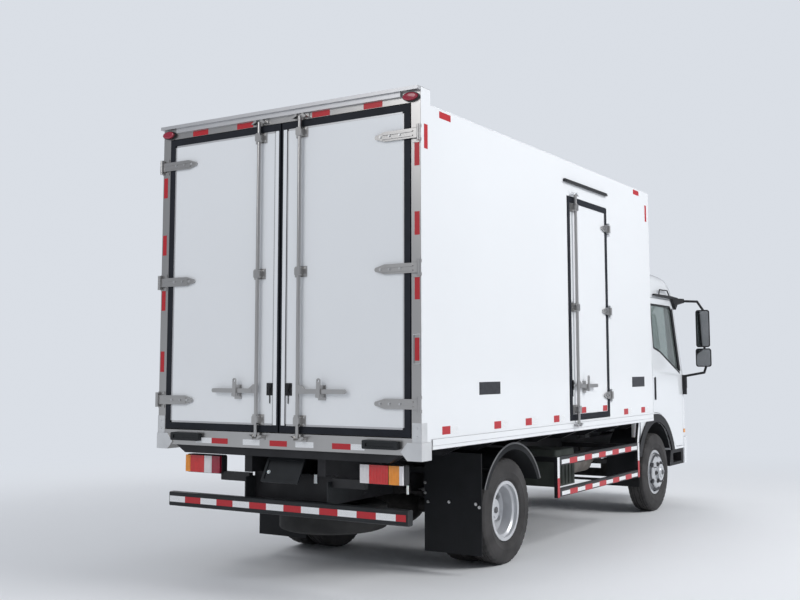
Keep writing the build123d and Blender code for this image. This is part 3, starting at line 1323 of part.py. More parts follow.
with BuildPart() as cab_back_wall:
    add(CAB_OUTER)
    add(CAB_INNER, mode=Mode.SUBTRACT)
    block(CAB_SPAN, ALL_Y, (ROOF_SPLIT, ABOVE), mode=Mode.SUBTRACT)
    block(CAB_SPAN, ALL_Y, (0, FLOOR_Z), mode=Mode.SUBTRACT)
    block((CAB_BACK_X + CAB_WALL, CAB_SPAN[1]), ALL_Y, (0, ABOVE), mode=Mode.SUBTRACT)
finish(cab_back_wall, "cab_back_wall")

with BuildPart() as door_cutter:
    prism(DOOR_OUTLINE, 700, 1000)
    arch_cut(700, 1000, ARCH_RADIUS + ARCH_LIP)

with BuildPart() as cab_side_left:
    add(CAB_OUTER)
    add(CAB_INNER, mode=Mode.SUBTRACT)
    block(CAB_SPAN, ALL_Y, (ROOF_SPLIT, ABOVE), mode=Mode.SUBTRACT)
    block(CAB_SPAN, (-1000, SCREEN_HALF), (0, ABOVE), mode=Mode.SUBTRACT)
    block((CAB_BACK_X - 10, CAB_BACK_X + CAB_WALL), ALL_Y, (0, ABOVE), mode=Mode.SUBTRACT)
    block((PANEL_X, CAB_SPAN[1]), ALL_Y, (0, SCREEN_LOW), mode=Mode.SUBTRACT)
    add(door_cutter.part, mode=Mode.SUBTRACT)
    arch_cut(700, 1000, ARCH_RADIUS)
    block(CAB_SPAN, ALL_Y, (0, PANEL_BOTTOM), mode=Mode.SUBTRACT)

with BuildPart() as cab_sides:
    add(cab_side_left.part)
    add(mirror(cab_side_left.part, about=Plane.XZ))
finish(cab_sides, "cab_sides")

with BuildPart() as cab_front:
    add(CAB_OUTER)
    add(CAB_INNER, mode=Mode.SUBTRACT)
    block((CAB_BACK_X - 10, PANEL_X), ALL_Y, (0, ABOVE), mode=Mode.SUBTRACT)
    block(CAB_SPAN, ALL_Y, (SCREEN_LOW, ABOVE), mode=Mode.SUBTRACT)
    block(CAB_SPAN, ALL_Y, (0, FACE_BOTTOM), mode=Mode.SUBTRACT)
    block((PANEL_X + 50, CAB_SPAN[1]), (-GRILLE_HALF, GRILLE_HALF), GRILLE_Z, mode=Mode.SUBTRACT)
    front_cut(LAMP_OUTLINE, (PANEL_X + 15, CAB_SPAN[1]), grow=0.3)
finish(cab_front, "cab_front")

with BuildPart() as windscreen:
    add(GLASS_OUTER)
    add(GLASS_INNER, mode=Mode.SUBTRACT)
    block(
        (FRONT_AXLE_X + 640, CAB_SPAN[1]),
        (-SCREEN_HALF, SCREEN_HALF),
        (SCREEN_LOW, SCREEN_HIGH),
        mode=Mode.INTERSECT,
    )
finish(windscreen, "windscreen")

with BuildPart() as cab_floor:
    with BuildSketch(Plane.XZ):
        Polygon(
            (CAB_BACK_X + CAB_WALL, FLOOR_Z),
            (CAB_BACK_X + CAB_WALL, FLOOR_Z + 250),
            (FRONT_AXLE_X + 150, FLOOR_Z + 250),
            (FRONT_AXLE_X + 150, FLOOR_Z + 40),
            (PANEL_X, FLOOR_Z + 40),
            (PANEL_X, FLOOR_Z),
            align=None,
        )
    extrude(amount=CAB_HALF_WIDTH - CAB_WALL, both=True)
    for place in CAB_MOUNT_PLACES:
        for side in (1, -1):
            near, far = sorted((side * (FRAME_WIDTH / 2 - RAIL_FLANGE), side * FRAME_WIDTH / 2))
            block((place - 45, place + 45), (near, far), (FRAME_TOP, FLOOR_Z))
finish(cab_floor, "cab_floor")

HANDLE_X = (CAB_DOOR_REAR_X + 42, CAB_DOOR_REAR_X + 112)
HANDLE_Z = (1116, 1344)
DOOR_SPAN = (-1000, -780)
with BuildPart() as cab_door:
    add(CAB_OUTER)
    add(CAB_INNER, mode=Mode.SUBTRACT)
    prism(DOOR_OUTLINE, *DOOR_SPAN, mode=Mode.INTERSECT, shrink=CAB_GAP)
    arch_cut(*DOOR_SPAN, ARCH_RADIUS + ARCH_LIP + CAB_GAP)
    prism(WINDOW_OUTLINE, *DOOR_SPAN, mode=Mode.SUBTRACT, corner=28)
    block(HANDLE_X, (DOOR_SPAN[0], 18 - CAB_HALF_WIDTH), HANDLE_Z, mode=Mode.SUBTRACT)
    middle = (HANDLE_X[0] + HANDLE_X[1]) / 2
    block((middle - 14, middle + 14), (-CAB_HALF_WIDTH - 4, 20 - CAB_HALF_WIDTH), HANDLE_Z)
pair(cab_door, "cab_door", "right")

with BuildPart() as cab_glass:
    add(GLASS_OUTER)
    add(GLASS_INNER, mode=Mode.SUBTRACT)
    prism(WINDOW_OUTLINE, *DOOR_SPAN, mode=Mode.INTERSECT, corner=28)
pair(cab_glass, "cab_glass", "right")

# Dashboard with the steering wheel, and the seats

DASH_X = FRONT_AXLE_X + 700
WHEEL_CENTRE = (FRONT_AXLE_X + 500, 430, 1560)
with BuildPart() as dashboard:
    with BuildSketch(Plane.XZ):
        with BuildLine():
            Polyline(
                (DASH_X, 1340),
                (DASH_X + 60, 1120),
                (PANEL_X - 5, 1120),
                (PANEL_X + 40, 1300),
                (FRONT_AXLE_X + 1010, 1300),
                (FRONT_AXLE_X + 1010, 1330),
                (PANEL_X - 5, 1385),
                (DASH_X + 60, 1400),
            )
            ThreePointArc((DASH_X + 60, 1400), (DASH_X + 15, 1382), (DASH_X, 1340))
        make_face()
    extrude(amount=CAB_HALF_WIDTH - CAB_WALL - 20, both=True)
    add(cab_form(CAB_WALL + 3), mode=Mode.INTERSECT)
    block((DASH_X + 80, PANEL_X - 5), (-130, 130), (FLOOR_Z + 40, 1130))
    rod((DASH_X + 40, WHEEL_CENTRE[1], 1370), WHEEL_CENTRE, 26)
    wheel_axis = Vector(*WHEEL_CENTRE) - Vector(DASH_X + 40, WHEEL_CENTRE[1], 1370)
    with BuildSketch(Plane(origin=WHEEL_CENTRE, z_dir=wheel_axis)):
        Circle(200)
        Circle(172, mode=Mode.SUBTRACT)
        Circle(55)
        Rectangle(350, 40)
    extrude(amount=14, both=True)
finish(dashboard, "dashboard")

SEAT_Z = FLOOR_Z + 250
with BuildPart() as seats:
    for middle, width in ((430, 500), (-330, 860)):
        block(
            (FRONT_AXLE_X - 380, FRONT_AXLE_X + 130),
            (middle - width / 2, middle + width / 2),
            (SEAT_Z + 0.3, SEAT_Z + 140),
        )
        with BuildSketch(Plane.XZ.offset(-(middle - width / 2))):
            Polygon(
                (FRONT_AXLE_X - 420, SEAT_Z + 0.3),
                (FRONT_AXLE_X - 300, SEAT_Z + 0.3),
                (FRONT_AXLE_X - 300, SEAT_Z + 700),
                (FRONT_AXLE_X - 400, SEAT_Z + 700),
                align=None,
            )
        extrude(amount=-width)
finish(seats, "seats")

# Face of the cab: grille, headlamps and bumper, with the black arch trims and steps

TOW_EYE_X = FRONT_AXLE_X + 850
TOW_EYE_Y = 318
TOW_EYE_Z = 380
TOW_EYE_RADIUS = 18
TOW_EYE_THICKNESS = 24
GRILLE_BARS = 4
with BuildPart() as front_grille:
    block((NOSE[0] - 35, NOSE[0] - 22), (-GRILLE_HALF, GRILLE_HALF), GRILLE_Z)
    bar_pitch = (GRILLE_Z[1] - GRILLE_Z[0]) / GRILLE_BARS
    for bar in range(GRILLE_BARS):
        middle = GRILLE_Z[0] + (bar + 0.5) * bar_pitch
        with BuildSketch(Plane.XZ):
            with Locations((NOSE[0] - 10, middle)):
                SlotOverall(30, bar_pitch * 0.45)
        extrude(amount=GRILLE_HALF, both=True)
finish(front_grille, "front_grille")

BUMPER_REAR_X = PANEL_X + 7
BUMPER_CORNER_X = FRONT_AXLE_X + FRONT_OVERHANG - 34
BUMPER_WALL = 35
with BuildPart() as front_bumper:
    with BuildSketch(Plane.XY.offset(BUMPER_LOW)) as bumper_plan:
        with BuildLine():
            Line((BUMPER_REAR_X - 60, -CAB_HALF_WIDTH), (BUMPER_CORNER_X, -CAB_HALF_WIDTH))
            ThreePointArc(
                (BUMPER_CORNER_X, -CAB_HALF_WIDTH),
                (FRONT_AXLE_X + FRONT_OVERHANG, 0),
                (BUMPER_CORNER_X, CAB_HALF_WIDTH),
            )
            Line((BUMPER_CORNER_X, CAB_HALF_WIDTH), (BUMPER_REAR_X - 60, CAB_HALF_WIDTH))
            Line((BUMPER_REAR_X - 60, CAB_HALF_WIDTH), (BUMPER_REAR_X - 60, -CAB_HALF_WIDTH))
        make_face()
        fillet(bumper_plan.vertices().group_by(Axis.X)[-1], 70)
    extrude(amount=BUMPER_TOP - BUMPER_LOW)
    with BuildSketch(Plane.XY.offset(BUMPER_LOW)):
        add(bumper_plan.sketch)
        offset(amount=-BUMPER_WALL, kind=Kind.INTERSECTION)
    extrude(amount=BUMPER_TOP - BUMPER_LOW, mode=Mode.SUBTRACT)
    block((BUMPER_REAR_X - 70, BUMPER_REAR_X), ALL_Y, (BUMPER_LOW, BUMPER_TOP), mode=Mode.SUBTRACT)
    with BuildSketch(Plane.YZ.offset(FRONT_AXLE_X + FRONT_OVERHANG - 25)):
        with Locations((0, 500)):
            RectangleRounded(760, 90, 20)
    extrude(amount=60, mode=Mode.SUBTRACT)
    for side in (1, -1):
        near, far = sorted((side * 300, side * 345))
        block((FRAME_FRONT_X, FRONT_AXLE_X + 1060), (near, far), (570, 620))
    with BuildSketch(Plane.XZ.offset(TOW_EYE_Y + TOW_EYE_THICKNESS / 2)):
        with BuildLine():
            Polyline(
                (TOW_EYE_X - 32, TOW_EYE_Z),
                (TOW_EYE_X - 60, RAIL_BOTTOM),
                (TOW_EYE_X + 20, RAIL_BOTTOM),
                (TOW_EYE_X + 32, TOW_EYE_Z),
            )
            foot = (TOW_EYE_X, TOW_EYE_Z - 32)
            ThreePointArc((TOW_EYE_X + 32, TOW_EYE_Z), foot, (TOW_EYE_X - 32, TOW_EYE_Z))
        make_face()
        with Locations((TOW_EYE_X, TOW_EYE_Z)):
            Circle(TOW_EYE_RADIUS, mode=Mode.SUBTRACT)
    extrude(amount=-TOW_EYE_THICKNESS)
finish(front_bumper, "front_bumper")

with BuildPart() as headlamps:
    add(cab_form(3))
    add(cab_form(38), mode=Mode.SUBTRACT)
    with BuildPart(mode=Mode.PRIVATE) as lamp_space:
        front_cut(LAMP_OUTLINE, (PANEL_X + 20, CAB_SPAN[1]), mode=Mode.ADD)
    add(lamp_space.part, mode=Mode.INTERSECT)
finish(headlamps, "headlamps")

STEP_X = (FRONT_AXLE_X + 455, PANEL_X)
STEP_Y = (620, CAB_HALF_WIDTH - 12)
with BuildPart() as arch_trims:
    for side in (1, -1):
        with BuildSketch(Plane.XZ.offset(-side * CAB_HALF_WIDTH)):
            with Locations((FRONT_AXLE_X, WHEEL_Z)):
                Circle(ARCH_RADIUS + ARCH_LIP - 10)
                Circle(ARCH_RADIUS - 16, mode=Mode.SUBTRACT)
            with Locations((FRONT_AXLE_X, PANEL_BOTTOM - 500)):
                Rectangle(2000, 1000, mode=Mode.SUBTRACT)
        extrude(amount=-side * 16)
        near, far = sorted((side * STEP_Y[0], side * STEP_Y[1]))
        with BuildSketch(Plane.XZ.offset(-near)):
            Polygon(
                (STEP_X[0], BUMPER_LOW),
                (STEP_X[1], BUMPER_LOW),
                (STEP_X[1], PANEL_BOTTOM),
                (STEP_X[0] + 40, PANEL_BOTTOM),
                align=None,
            )
        extrude(amount=-(far - near))
        pocket = sorted((side * (STEP_Y[1] - 90), side * (STEP_Y[1] + 10)))
        pocket_z = (BUMPER_LOW + 30, PANEL_BOTTOM - 40)
        block((STEP_X[0] + 110, STEP_X[1] - 60), pocket, pocket_z, mode=Mode.SUBTRACT)
finish(arch_trims, "arch_trims")

# Mirrors on arms from a housing on the roof's edge and a bracket at the front pillar

MIRROR_X = FRONT_AXLE_X + 880
MIRROR_DEPTH = 75
MIRROR_HEADS = (
    # distance from the centre, width, low and high
    (1196, 152, 1662, 2068),
    (1197, 170, 1450, 1650),
)
SIDE_LEAN = (CAB_HALF_WIDTH - CAB_SHOULDER_Y) / (CAB_ROOF - CAB_SHOULDER_DROP - BELT_Z)
HOUSING_Y = CAB_HALF_WIDTH - SIDE_LEAN * (2075 - BELT_Z) + 0.3
HOUSING_OUTLINE = (
    # X and Z of the arm's housing along the roof's edge
    (FRONT_AXLE_X + 100, 2196),
    (FRONT_AXLE_X + 330, 2188),
    (FRONT_AXLE_X + 662, 2188),
    (FRONT_AXLE_X + 772, 2074),
    (FRONT_AXLE_X + 800, 2100),
    (FRONT_AXLE_X + 850, 2150),
    (FRONT_AXLE_X + 850, 2206),
    (FRONT_AXLE_X + 640, 2214),
    (FRONT_AXLE_X + 100, 2212),
)
ARM_RADIUS = 13
with BuildPart() as mirrors:
    for side in (1, -1):
        for distance, width, low, high in MIRROR_HEADS:
            centre = (side * distance, (low + high) / 2)
            with BuildSketch(Plane.YZ.offset(MIRROR_X)):
                with Locations(centre):
                    RectangleRounded(width, high - low, 28)
            with BuildSketch(Plane.YZ.offset(MIRROR_X + MIRROR_DEPTH)):
                with Locations(centre):
                    RectangleRounded(width - 44, high - low - 50, 28)
            loft()
        near, far = sorted((side * HOUSING_Y, side * (HOUSING_Y + 30)))
        prism(HOUSING_OUTLINE, near, far)
        with BuildSketch(Plane.XZ.offset(-side * (HOUSING_Y + 29))):
            with Locations((FRONT_AXLE_X + 782, 2162)):
                Rectangle(116, 66)
        with BuildSketch(Plane.XZ.offset(-side * 1005)):
            with Locations((FRONT_AXLE_X + 830, 2172)):
                Rectangle(50, 44)
        loft()
        elbow = (MIRROR_X + 30, side * 1132, 2163)
        rod((FRONT_AXLE_X + 835, side * 1000, 2168), elbow, ARM_RADIUS)
        rod(elbow, (MIRROR_X + 36, side * 1198, 2060), ARM_RADIUS)
        with Locations(elbow):
            Sphere(ARM_RADIUS)
        rod((MIRROR_X + 36, side * 1198, 1640), (MIRROR_X + 36, side * 1198, 1670), ARM_RADIUS)
        elbow = (MIRROR_X + 30, side * 1190, 1388)
        rod((MIRROR_X + 36, side * 1215, 1465), elbow, ARM_RADIUS)
        rod(elbow, (FRONT_AXLE_X + 920, side * 975, 1350), ARM_RADIUS)
        with Locations(elbow):
            Sphere(ARM_RADIUS)
        near, far = sorted((side * (CAB_HALF_WIDTH + 0.3), side * 987))
        with BuildSketch(Plane.XZ.offset(-near)):
            Polygon(
                (FRONT_AXLE_X + 897, 1240),
                (FRONT_AXLE_X + 897, 1362),
                (FRONT_AXLE_X + 942, 1362),
                (FRONT_AXLE_X + 942, 1218),
                align=None,
            )
        extrude(amount=-(far - near))
        loop_y = side * (HOUSING_Y + 18)
        corners = (
            (FRONT_AXLE_X + 245, loop_y, 2205),
            (FRONT_AXLE_X + 275, loop_y, 2262),
            (FRONT_AXLE_X + 520, loop_y, 2268),
            (FRONT_AXLE_X + 600, loop_y, 2205),
        )
        for start, end in zip(corners, corners[1:]):
            rod(start, end, 7)
            with Locations(start):
                Sphere(7)
finish(mirrors, "mirrors")
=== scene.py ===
"""Blender scene for the refrigerated truck: finishes, dressing, seats, light and camera.

Metres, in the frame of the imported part: +X forward, +Y to the truck's left, +Z up.
"""

import json
from math import cos, pi, radians, sin

import bmesh
import bpy
from mathutils import Matrix, Vector


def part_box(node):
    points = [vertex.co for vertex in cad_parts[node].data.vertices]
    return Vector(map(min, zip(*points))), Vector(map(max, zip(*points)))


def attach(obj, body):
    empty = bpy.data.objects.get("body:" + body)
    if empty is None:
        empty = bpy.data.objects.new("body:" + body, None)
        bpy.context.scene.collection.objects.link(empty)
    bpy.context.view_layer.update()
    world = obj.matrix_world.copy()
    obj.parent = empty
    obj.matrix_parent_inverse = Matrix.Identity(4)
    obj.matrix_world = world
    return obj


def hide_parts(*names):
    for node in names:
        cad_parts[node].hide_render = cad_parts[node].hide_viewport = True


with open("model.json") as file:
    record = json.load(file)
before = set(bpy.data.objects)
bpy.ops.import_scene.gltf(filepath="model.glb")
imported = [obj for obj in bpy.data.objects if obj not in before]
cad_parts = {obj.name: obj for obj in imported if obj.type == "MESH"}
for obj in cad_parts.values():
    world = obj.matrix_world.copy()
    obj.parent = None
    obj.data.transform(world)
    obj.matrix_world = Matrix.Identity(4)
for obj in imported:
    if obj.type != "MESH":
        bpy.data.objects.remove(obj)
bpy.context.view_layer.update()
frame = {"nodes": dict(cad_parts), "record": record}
NODES = frame["nodes"]
SIDES = ((1, "left"), (-1, "right"))

# Places that several sections share, read from the frame

WHEEL_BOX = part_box("rear_tyres_left")
WHEEL_Z = (WHEEL_BOX[0].z + WHEEL_BOX[1].z) / 2
TYRE_RADIUS = (WHEEL_BOX[1].z - WHEEL_BOX[0].z) / 2
REAR_AXLE_X = (WHEEL_BOX[0].x + WHEEL_BOX[1].x) / 2
FRONT_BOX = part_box("front_tyre_left")
FRONT_AXLE_X = (FRONT_BOX[0].x + FRONT_BOX[1].x) / 2
FRONT_WHEEL_Y = (FRONT_BOX[0].y + FRONT_BOX[1].y) / 2
BOX_REAR_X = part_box("rear_frame")[1].x - 0.12
WALL_Y = -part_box("box_side_left")[1].y
HALF_BOX = -WALL_Y


# Finishes: each is a node tree with mottled colour and a grain

def finish(name, colour, rough, metal=0.0, mottle=(2.5, 0.05), grain=(90.0, 0.02), stretch=(1, 1, 1), **more):
    """A surface whose colour drifts by the mottle's share and whose grain stands out by the grain's depth in mm."""
    made = bpy.data.materials.new(name)
    made.use_nodes = True
    tree = made.node_tree
    surface = tree.nodes["Principled BSDF"]
    surface.inputs["Roughness"].default_value = rough
    surface.inputs["Metallic"].default_value = metal
    if max(colour) < 0.08:
        surface.inputs["Specular IOR Level"].default_value = 0.25
    for socket, value in more.items():
        surface.inputs[socket.replace("_", " ")].default_value = value
    where = tree.nodes.new("ShaderNodeTexCoord")
    mapping = tree.nodes.new("ShaderNodeMapping")
    mapping.inputs["Scale"].default_value = stretch
    tree.links.new(where.outputs["Object"], mapping.inputs["Vector"])
    patches = tree.nodes.new("ShaderNodeTexNoise")
    patches.inputs["Scale"].default_value = mottle[0]
    patches.inputs["Detail"].default_value = 6
    tree.links.new(mapping.outputs["Vector"], patches.inputs["Vector"])
    ramp = tree.nodes.new("ShaderNodeValToRGB")
    low, high = ramp.color_ramp.elements
    low.position, high.position = 0.3, 0.7
    low.color = [c * (1 - mottle[1]) for c in colour] + [1]
    high.color = [min(1, c * (1 + mottle[1])) for c in colour] + [1]
    tree.links.new(patches.outputs["Fac"], ramp.inputs["Fac"])
    tree.links.new(ramp.outputs["Color"], surface.inputs["Base Color"])
    fine = tree.nodes.new("ShaderNodeTexNoise")
    fine.inputs["Scale"].default_value = grain[0]
    fine.inputs["Detail"].default_value = 3
    tree.links.new(mapping.outputs["Vector"], fine.inputs["Vector"])
    bump = tree.nodes.new("ShaderNodeBump")
    bump.inputs["Distance"].default_value = grain[1] / 1000
    bump.inputs["Strength"].default_value = 0.6
    tree.links.new(fine.outputs["Fac"], bump.inputs["Height"])
    tree.links.new(bump.outputs["Normal"], surface.inputs["Normal"])
    return made


def cell_finish(name, colour, rough, cells):
    """Retroreflective sheet: a honeycomb of small cells under a clear film."""
    made = finish(name, colour, rough, mottle=(4, 0.04), grain=(60, 0.01), Coat_Weight=0.2, Coat_Roughness=0.1)
    tree = made.node_tree
    surface = tree.nodes["Principled BSDF"]
    honeycomb = tree.nodes.new("ShaderNodeTexVoronoi")
    honeycomb.feature = "DISTANCE_TO_EDGE"
    honeycomb.inputs["Scale"].default_value = cells
    where = tree.nodes["Texture Coordinate"]
    tree.links.new(where.outputs["Object"], honeycomb.inputs["Vector"])
    edge = tree.nodes.new("ShaderNodeValToRGB")
    edge.color_ramp.elements[0].color = [c * 0.72 for c in colour] + [1]
    edge.color_ramp.elements[1].color = list(colour) + [1]
    edge.color_ramp.elements[1].position = 0.09
    tree.links.new(honeycomb.outputs["Distance"], edge.inputs["Fac"])
    tree.links.new(edge.outputs["Color"], surface.inputs["Base Color"])
    return made


def woven_finish(name, colour, rough, threads):
    """Cloth: two crossed sets of threads in the bump and a soft sheen."""
    made = finish(name, colour, rough, mottle=(9, 0.12), grain=(300, 0.05), Sheen_Weight=0.3)
    tree = made.node_tree
    where = tree.nodes["Texture Coordinate"]
    bump = tree.nodes["Bump"]
    heights = []
    for direction in ("X", "Z"):
        wave = tree.nodes.new("ShaderNodeTexWave")
        wave.bands_direction = direction
        wave.inputs["Scale"].default_value = threads
        tree.links.new(where.outputs["Object"], wave.inputs["Vector"])
        heights.append(wave)
    cross = tree.nodes.new("ShaderNodeMath")
    cross.operation = "ADD"
    for place, wave in enumerate(heights):
        tree.links.new(wave.outputs["Fac"], cross.inputs[place])
    tree.links.new(cross.outputs["Value"], bump.inputs["Height"])
    bump.inputs["Distance"].default_value = 0.0004
    return made


FINISHES = {
    "panel_white": finish(
        "gel_coat_white", (0.83, 0.845, 0.86), 0.22, mottle=(0.9, 0.012), grain=(7, 0.12), Coat_Weight=0.35
    ),
    "cab_paint": finish(
        "cab_white", (0.82, 0.84, 0.86), 0.18, mottle=(1.2, 0.01), grain=(260, 0.01), Coat_Weight=0.8
    ),
    "unit_white": finish("unit_white", (0.8, 0.81, 0.82), 0.3, mottle=(2, 0.02), grain=(150, 0.02)),
    "stainless": finish(
        "brushed_stainless", (0.47, 0.46, 0.45), 0.3, 1.0, mottle=(5, 0.05), grain=(160, 0.03), stretch=(1, 1, 0.04)
    ),
    "moulding_aluminium": finish(
        "mill_aluminium", (0.56, 0.56, 0.57), 0.42, 0.85, mottle=(4, 0.04), grain=(140, 0.03), stretch=(0.04, 1, 1)
    ),
    "floor_aluminium": finish(
        "floor_aluminium", (0.58, 0.59, 0.6), 0.4, 1.0, mottle=(6, 0.08), grain=(120, 0.05), stretch=(0.1, 1, 1)
    ),
    "frame_black": finish("chassis_black", (0.018, 0.018, 0.02), 0.42, mottle=(6, 0.3), grain=(70, 0.12)),
    "spring_steel": finish("spring_black", (0.022, 0.021, 0.021), 0.5, mottle=(12, 0.35), grain=(90, 0.15)),
    "cast_dark": finish("cast_iron", (0.035, 0.033, 0.032), 0.62, 0.4, mottle=(18, 0.35), grain=(220, 0.35)),
    "shaft_black": finish("shaft_black", (0.02, 0.02, 0.022), 0.45, mottle=(10, 0.3), grain=(100, 0.1)),
    "engine_grey": finish("engine_grey", (0.14, 0.145, 0.15), 0.55, 0.3, mottle=(14, 0.3), grain=(120, 0.4)),
    "exhaust_steel": finish("exhaust_steel", (0.3, 0.27, 0.24), 0.42, 0.9, mottle=(8, 0.3), grain=(90, 0.15)),
    "tank_steel": finish("tank_black", (0.03, 0.03, 0.033), 0.35, mottle=(5, 0.2), grain=(80, 0.06)),
    "battery_plastic": finish("battery_plastic", (0.06, 0.068, 0.06), 0.6, mottle=(8, 0.2), grain=(320, 0.15)),
    "bumper_black": finish("bumper_black", (0.02, 0.022, 0.024), 0.38, mottle=(5, 0.25), grain=(120, 0.08)),
    "guard_black": finish("guard_black", (0.02, 0.02, 0.022), 0.4, mottle=(6, 0.25), grain=(120, 0.1)),
    "mudguard_plastic": finish("mudguard_plastic", (0.012, 0.013, 0.015), 0.6, mottle=(5, 0.25), grain=(40, 0.3)),
    "trim_black": finish("trim_black", (0.022, 0.022, 0.024), 0.5, mottle=(6, 0.15), grain=(380, 0.12)),
    "trim_grey": finish("trim_grey", (0.16, 0.16, 0.165), 0.62, mottle=(7, 0.1), grain=(380, 0.15)),
    "seal_rubber": finish("seal_rubber", (0.010, 0.012, 0.018), 0.6, mottle=(9, 0.2), grain=(120, 0.06)),
    "tyre_rubber": finish("tyre_rubber", (0.052, 0.050, 0.050), 0.75, mottle=(7, 0.3), grain=(260, 0.25)),
    "spare_rubber": finish("spare_rubber", (0.03, 0.03, 0.03), 0.75, mottle=(7, 0.3), grain=(260, 0.25)),
    "rim_silver": finish("rim_silver", (0.62, 0.63, 0.65), 0.36, 0.4, mottle=(9, 0.06), grain=(180, 0.05)),
    "cab_glass": finish(
        "cab_glass", (0.6, 0.66, 0.64), 0.03, mottle=(1, 0.03), grain=(3, 0.01), Transmission_Weight=0.92, IOR=1.45
    ),
    "head_lens": finish(
        "clear_lens", (0.9, 0.92, 0.95), 0.06, mottle=(3, 0.02), grain=(25, 0.2), Transmission_Weight=0.85
    ),
    "lamp_lens": finish("lamp_housing", (0.03, 0.03, 0.032), 0.45, mottle=(9, 0.1), grain=(200, 0.1)),
    "seat_cloth": woven_finish("seat_cloth", (0.075, 0.078, 0.085), 0.85, 220),
}
TAPE_RED = cell_finish("tape_red", (0.5, 0.005, 0.014), 0.4, 260)
TAPE_WHITE = cell_finish("tape_white", (0.84, 0.85, 0.86), 0.35, 260)
LENS_RED = finish("lens_red", (0.62, 0.02, 0.02), 0.12, mottle=(20, 0.1), grain=(60, 0.3), Coat_Weight=0.5)
LENS_DARK_RED = finish(
    "lens_dark_red", (0.33, 0.01, 0.035), 0.14, mottle=(20, 0.1), grain=(60, 0.3), Coat_Weight=0.5
)
LENS_AMBER = finish("lens_amber", (0.85, 0.3, 0.02), 0.12, mottle=(20, 0.1), grain=(60, 0.3), Coat_Weight=0.5)
LENS_CLEAR = finish("lens_clear", (0.78, 0.76, 0.77), 0.12, mottle=(20, 0.05), grain=(60, 0.3), Coat_Weight=0.5)
ZINC = finish("zinc_bolt", (0.6, 0.6, 0.6), 0.32, 1.0, mottle=(40, 0.1), grain=(300, 0.05))
NUT_STEEL = finish("nut_steel", (0.16, 0.16, 0.165), 0.42, 0.8, mottle=(40, 0.2), grain=(300, 0.08))
CASTING = finish("casting_paint", (0.6, 0.61, 0.62), 0.45, mottle=(9, 0.06), grain=(260, 0.12))
BOTTLE = finish(
    "bottle_plastic", (0.74, 0.75, 0.74), 0.4, mottle=(8, 0.05), grain=(60, 0.1), Subsurface_Weight=0.1
)
# Dark finish of the blank signs, also used for the painted-shade ring behind the wheels' hand holes
DARK_SIGN_AND_PAINTED_SHADE = finish("dark_sign_and_painted_shade", (0.035, 0.036, 0.042), 0.4, mottle=(30, 0.25), grain=(160, 0.05))
BLANK_PLATE = finish("blank_plate", (0.48, 0.51, 0.58), 0.35, mottle=(4, 0.06), grain=(90, 0.05))
MIRROR_GLASS = finish("mirror_glass", (0.2, 0.205, 0.21), 0.05, 1.0, mottle=(5, 0.12), grain=(2, 0.002))

for entry in frame["record"]["subparts"]:
    mesh = NODES[entry["node"]].data
    mesh.materials.clear()
    mesh.materials.append(FINISHES[entry["material_slot"]])


# Mesh builders

def piece(name, shape, material, body, smooth=None, bevel=0.0):
    """A finished bmesh as an object that rides on a body. smooth is the angle of the sharpest smoothed edge."""
    mesh = bpy.data.meshes.new(name)
    bmesh.ops.recalc_face_normals(shape, faces=shape.faces)
    shape.to_mesh(mesh)
    shape.free()
    made = bpy.data.objects.new(name, mesh)
    bpy.context.scene.collection.objects.link(made)
    for one in material if isinstance(material, (list, tuple)) else [material]:
        mesh.materials.append(one)
    if smooth:
        mesh.shade_smooth()
        mesh.set_sharp_from_angle(angle=radians(smooth))
    if bevel:
        edge = made.modifiers.new("edge", "BEVEL")
        edge.width = bevel
        edge.segments = 2
        edge.limit_method = "ANGLE"
    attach(made, body)
    return made


def slab(shape, low, high, material=0):
    """Box between two corners."""
    low, high = Vector(low), Vector(high)
    grown = bmesh.ops.create_cube(shape, size=1)
    size = high - low
    middle = (high + low) / 2
    for vert in grown["verts"]:
        vert.co = Vector([m + c * s for m, c, s in zip(middle, vert.co, size)])
    for vert in grown["verts"]:
        for face in vert.link_faces:
            face.material_index = material


def bar(shape, start, end, radius, sides=16, end_radius=None, material=0):
    """Round bar, cone or hexagon from one point to another."""
    start, end = Vector(start), Vector(end)
    along = end - start
    turn = Vector((0, 0, 1)).rotation_difference(along).to_matrix().to_4x4()
    grown = bmesh.ops.create_cone(
        shape,
        cap_ends=True,
        segments=sides,
        radius1=radius,
        radius2=radius if end_radius is None else end_radius,
        depth=along.length,
        matrix=Matrix.Translation((start + end) / 2) @ turn,
    )
    for vert in grown["verts"]:
        for face in vert.link_faces:
            face.material_index = material


def bolt(shape, place, out, size, material=0):
    """Hexagon head with a washer; size is the radius over the corners."""
    place, out = Vector(place), Vector(out)
    bar(shape, place, place + out * size * 0.25, size * 1.35, 20, material=material)
    bar(shape, place + out * size * 0.25, place + out * size * 0.95, size, 6, material=material)


def stack(shape, loops, material=0):
    """Solid between loops of equal length, closed by a flat face at each end."""
    rings = [[shape.verts.new(point) for point in loop] for loop in loops]
    faces = [shape.faces.new(rings[0]), shape.faces.new(list(reversed(rings[-1])))]
    for ring, following in zip(rings, rings[1:]):
        for place in range(len(ring)):
            after = (place + 1) % len(ring)
            faces.append(shape.faces.new((ring[place], following[place], following[after], ring[after])))
    for face in faces:
        face.material_index = material


def plate(shape, outline, axis, low, high, material=0):
    """Flat shape between two places on an axis; its outline holds the other two coordinates in order."""
    stack(shape, [[(*point[:axis], place, *point[axis:]) for point in outline] for place in (low, high)], material)


def path(shape, points, radius, sides=10, material=0):
    """Round bar through several points, with a ball at each bend."""
    for start, end in zip(points, points[1:]):
        bar(shape, start, end, radius, sides, material=material)
    for point in points[1:-1]:
        grown = bmesh.ops.create_icosphere(
            shape, subdivisions=2, radius=radius, matrix=Matrix.Translation(Vector(point))
        )
        for vert in grown["verts"]:
            for face in vert.link_faces:
                face.material_index = material


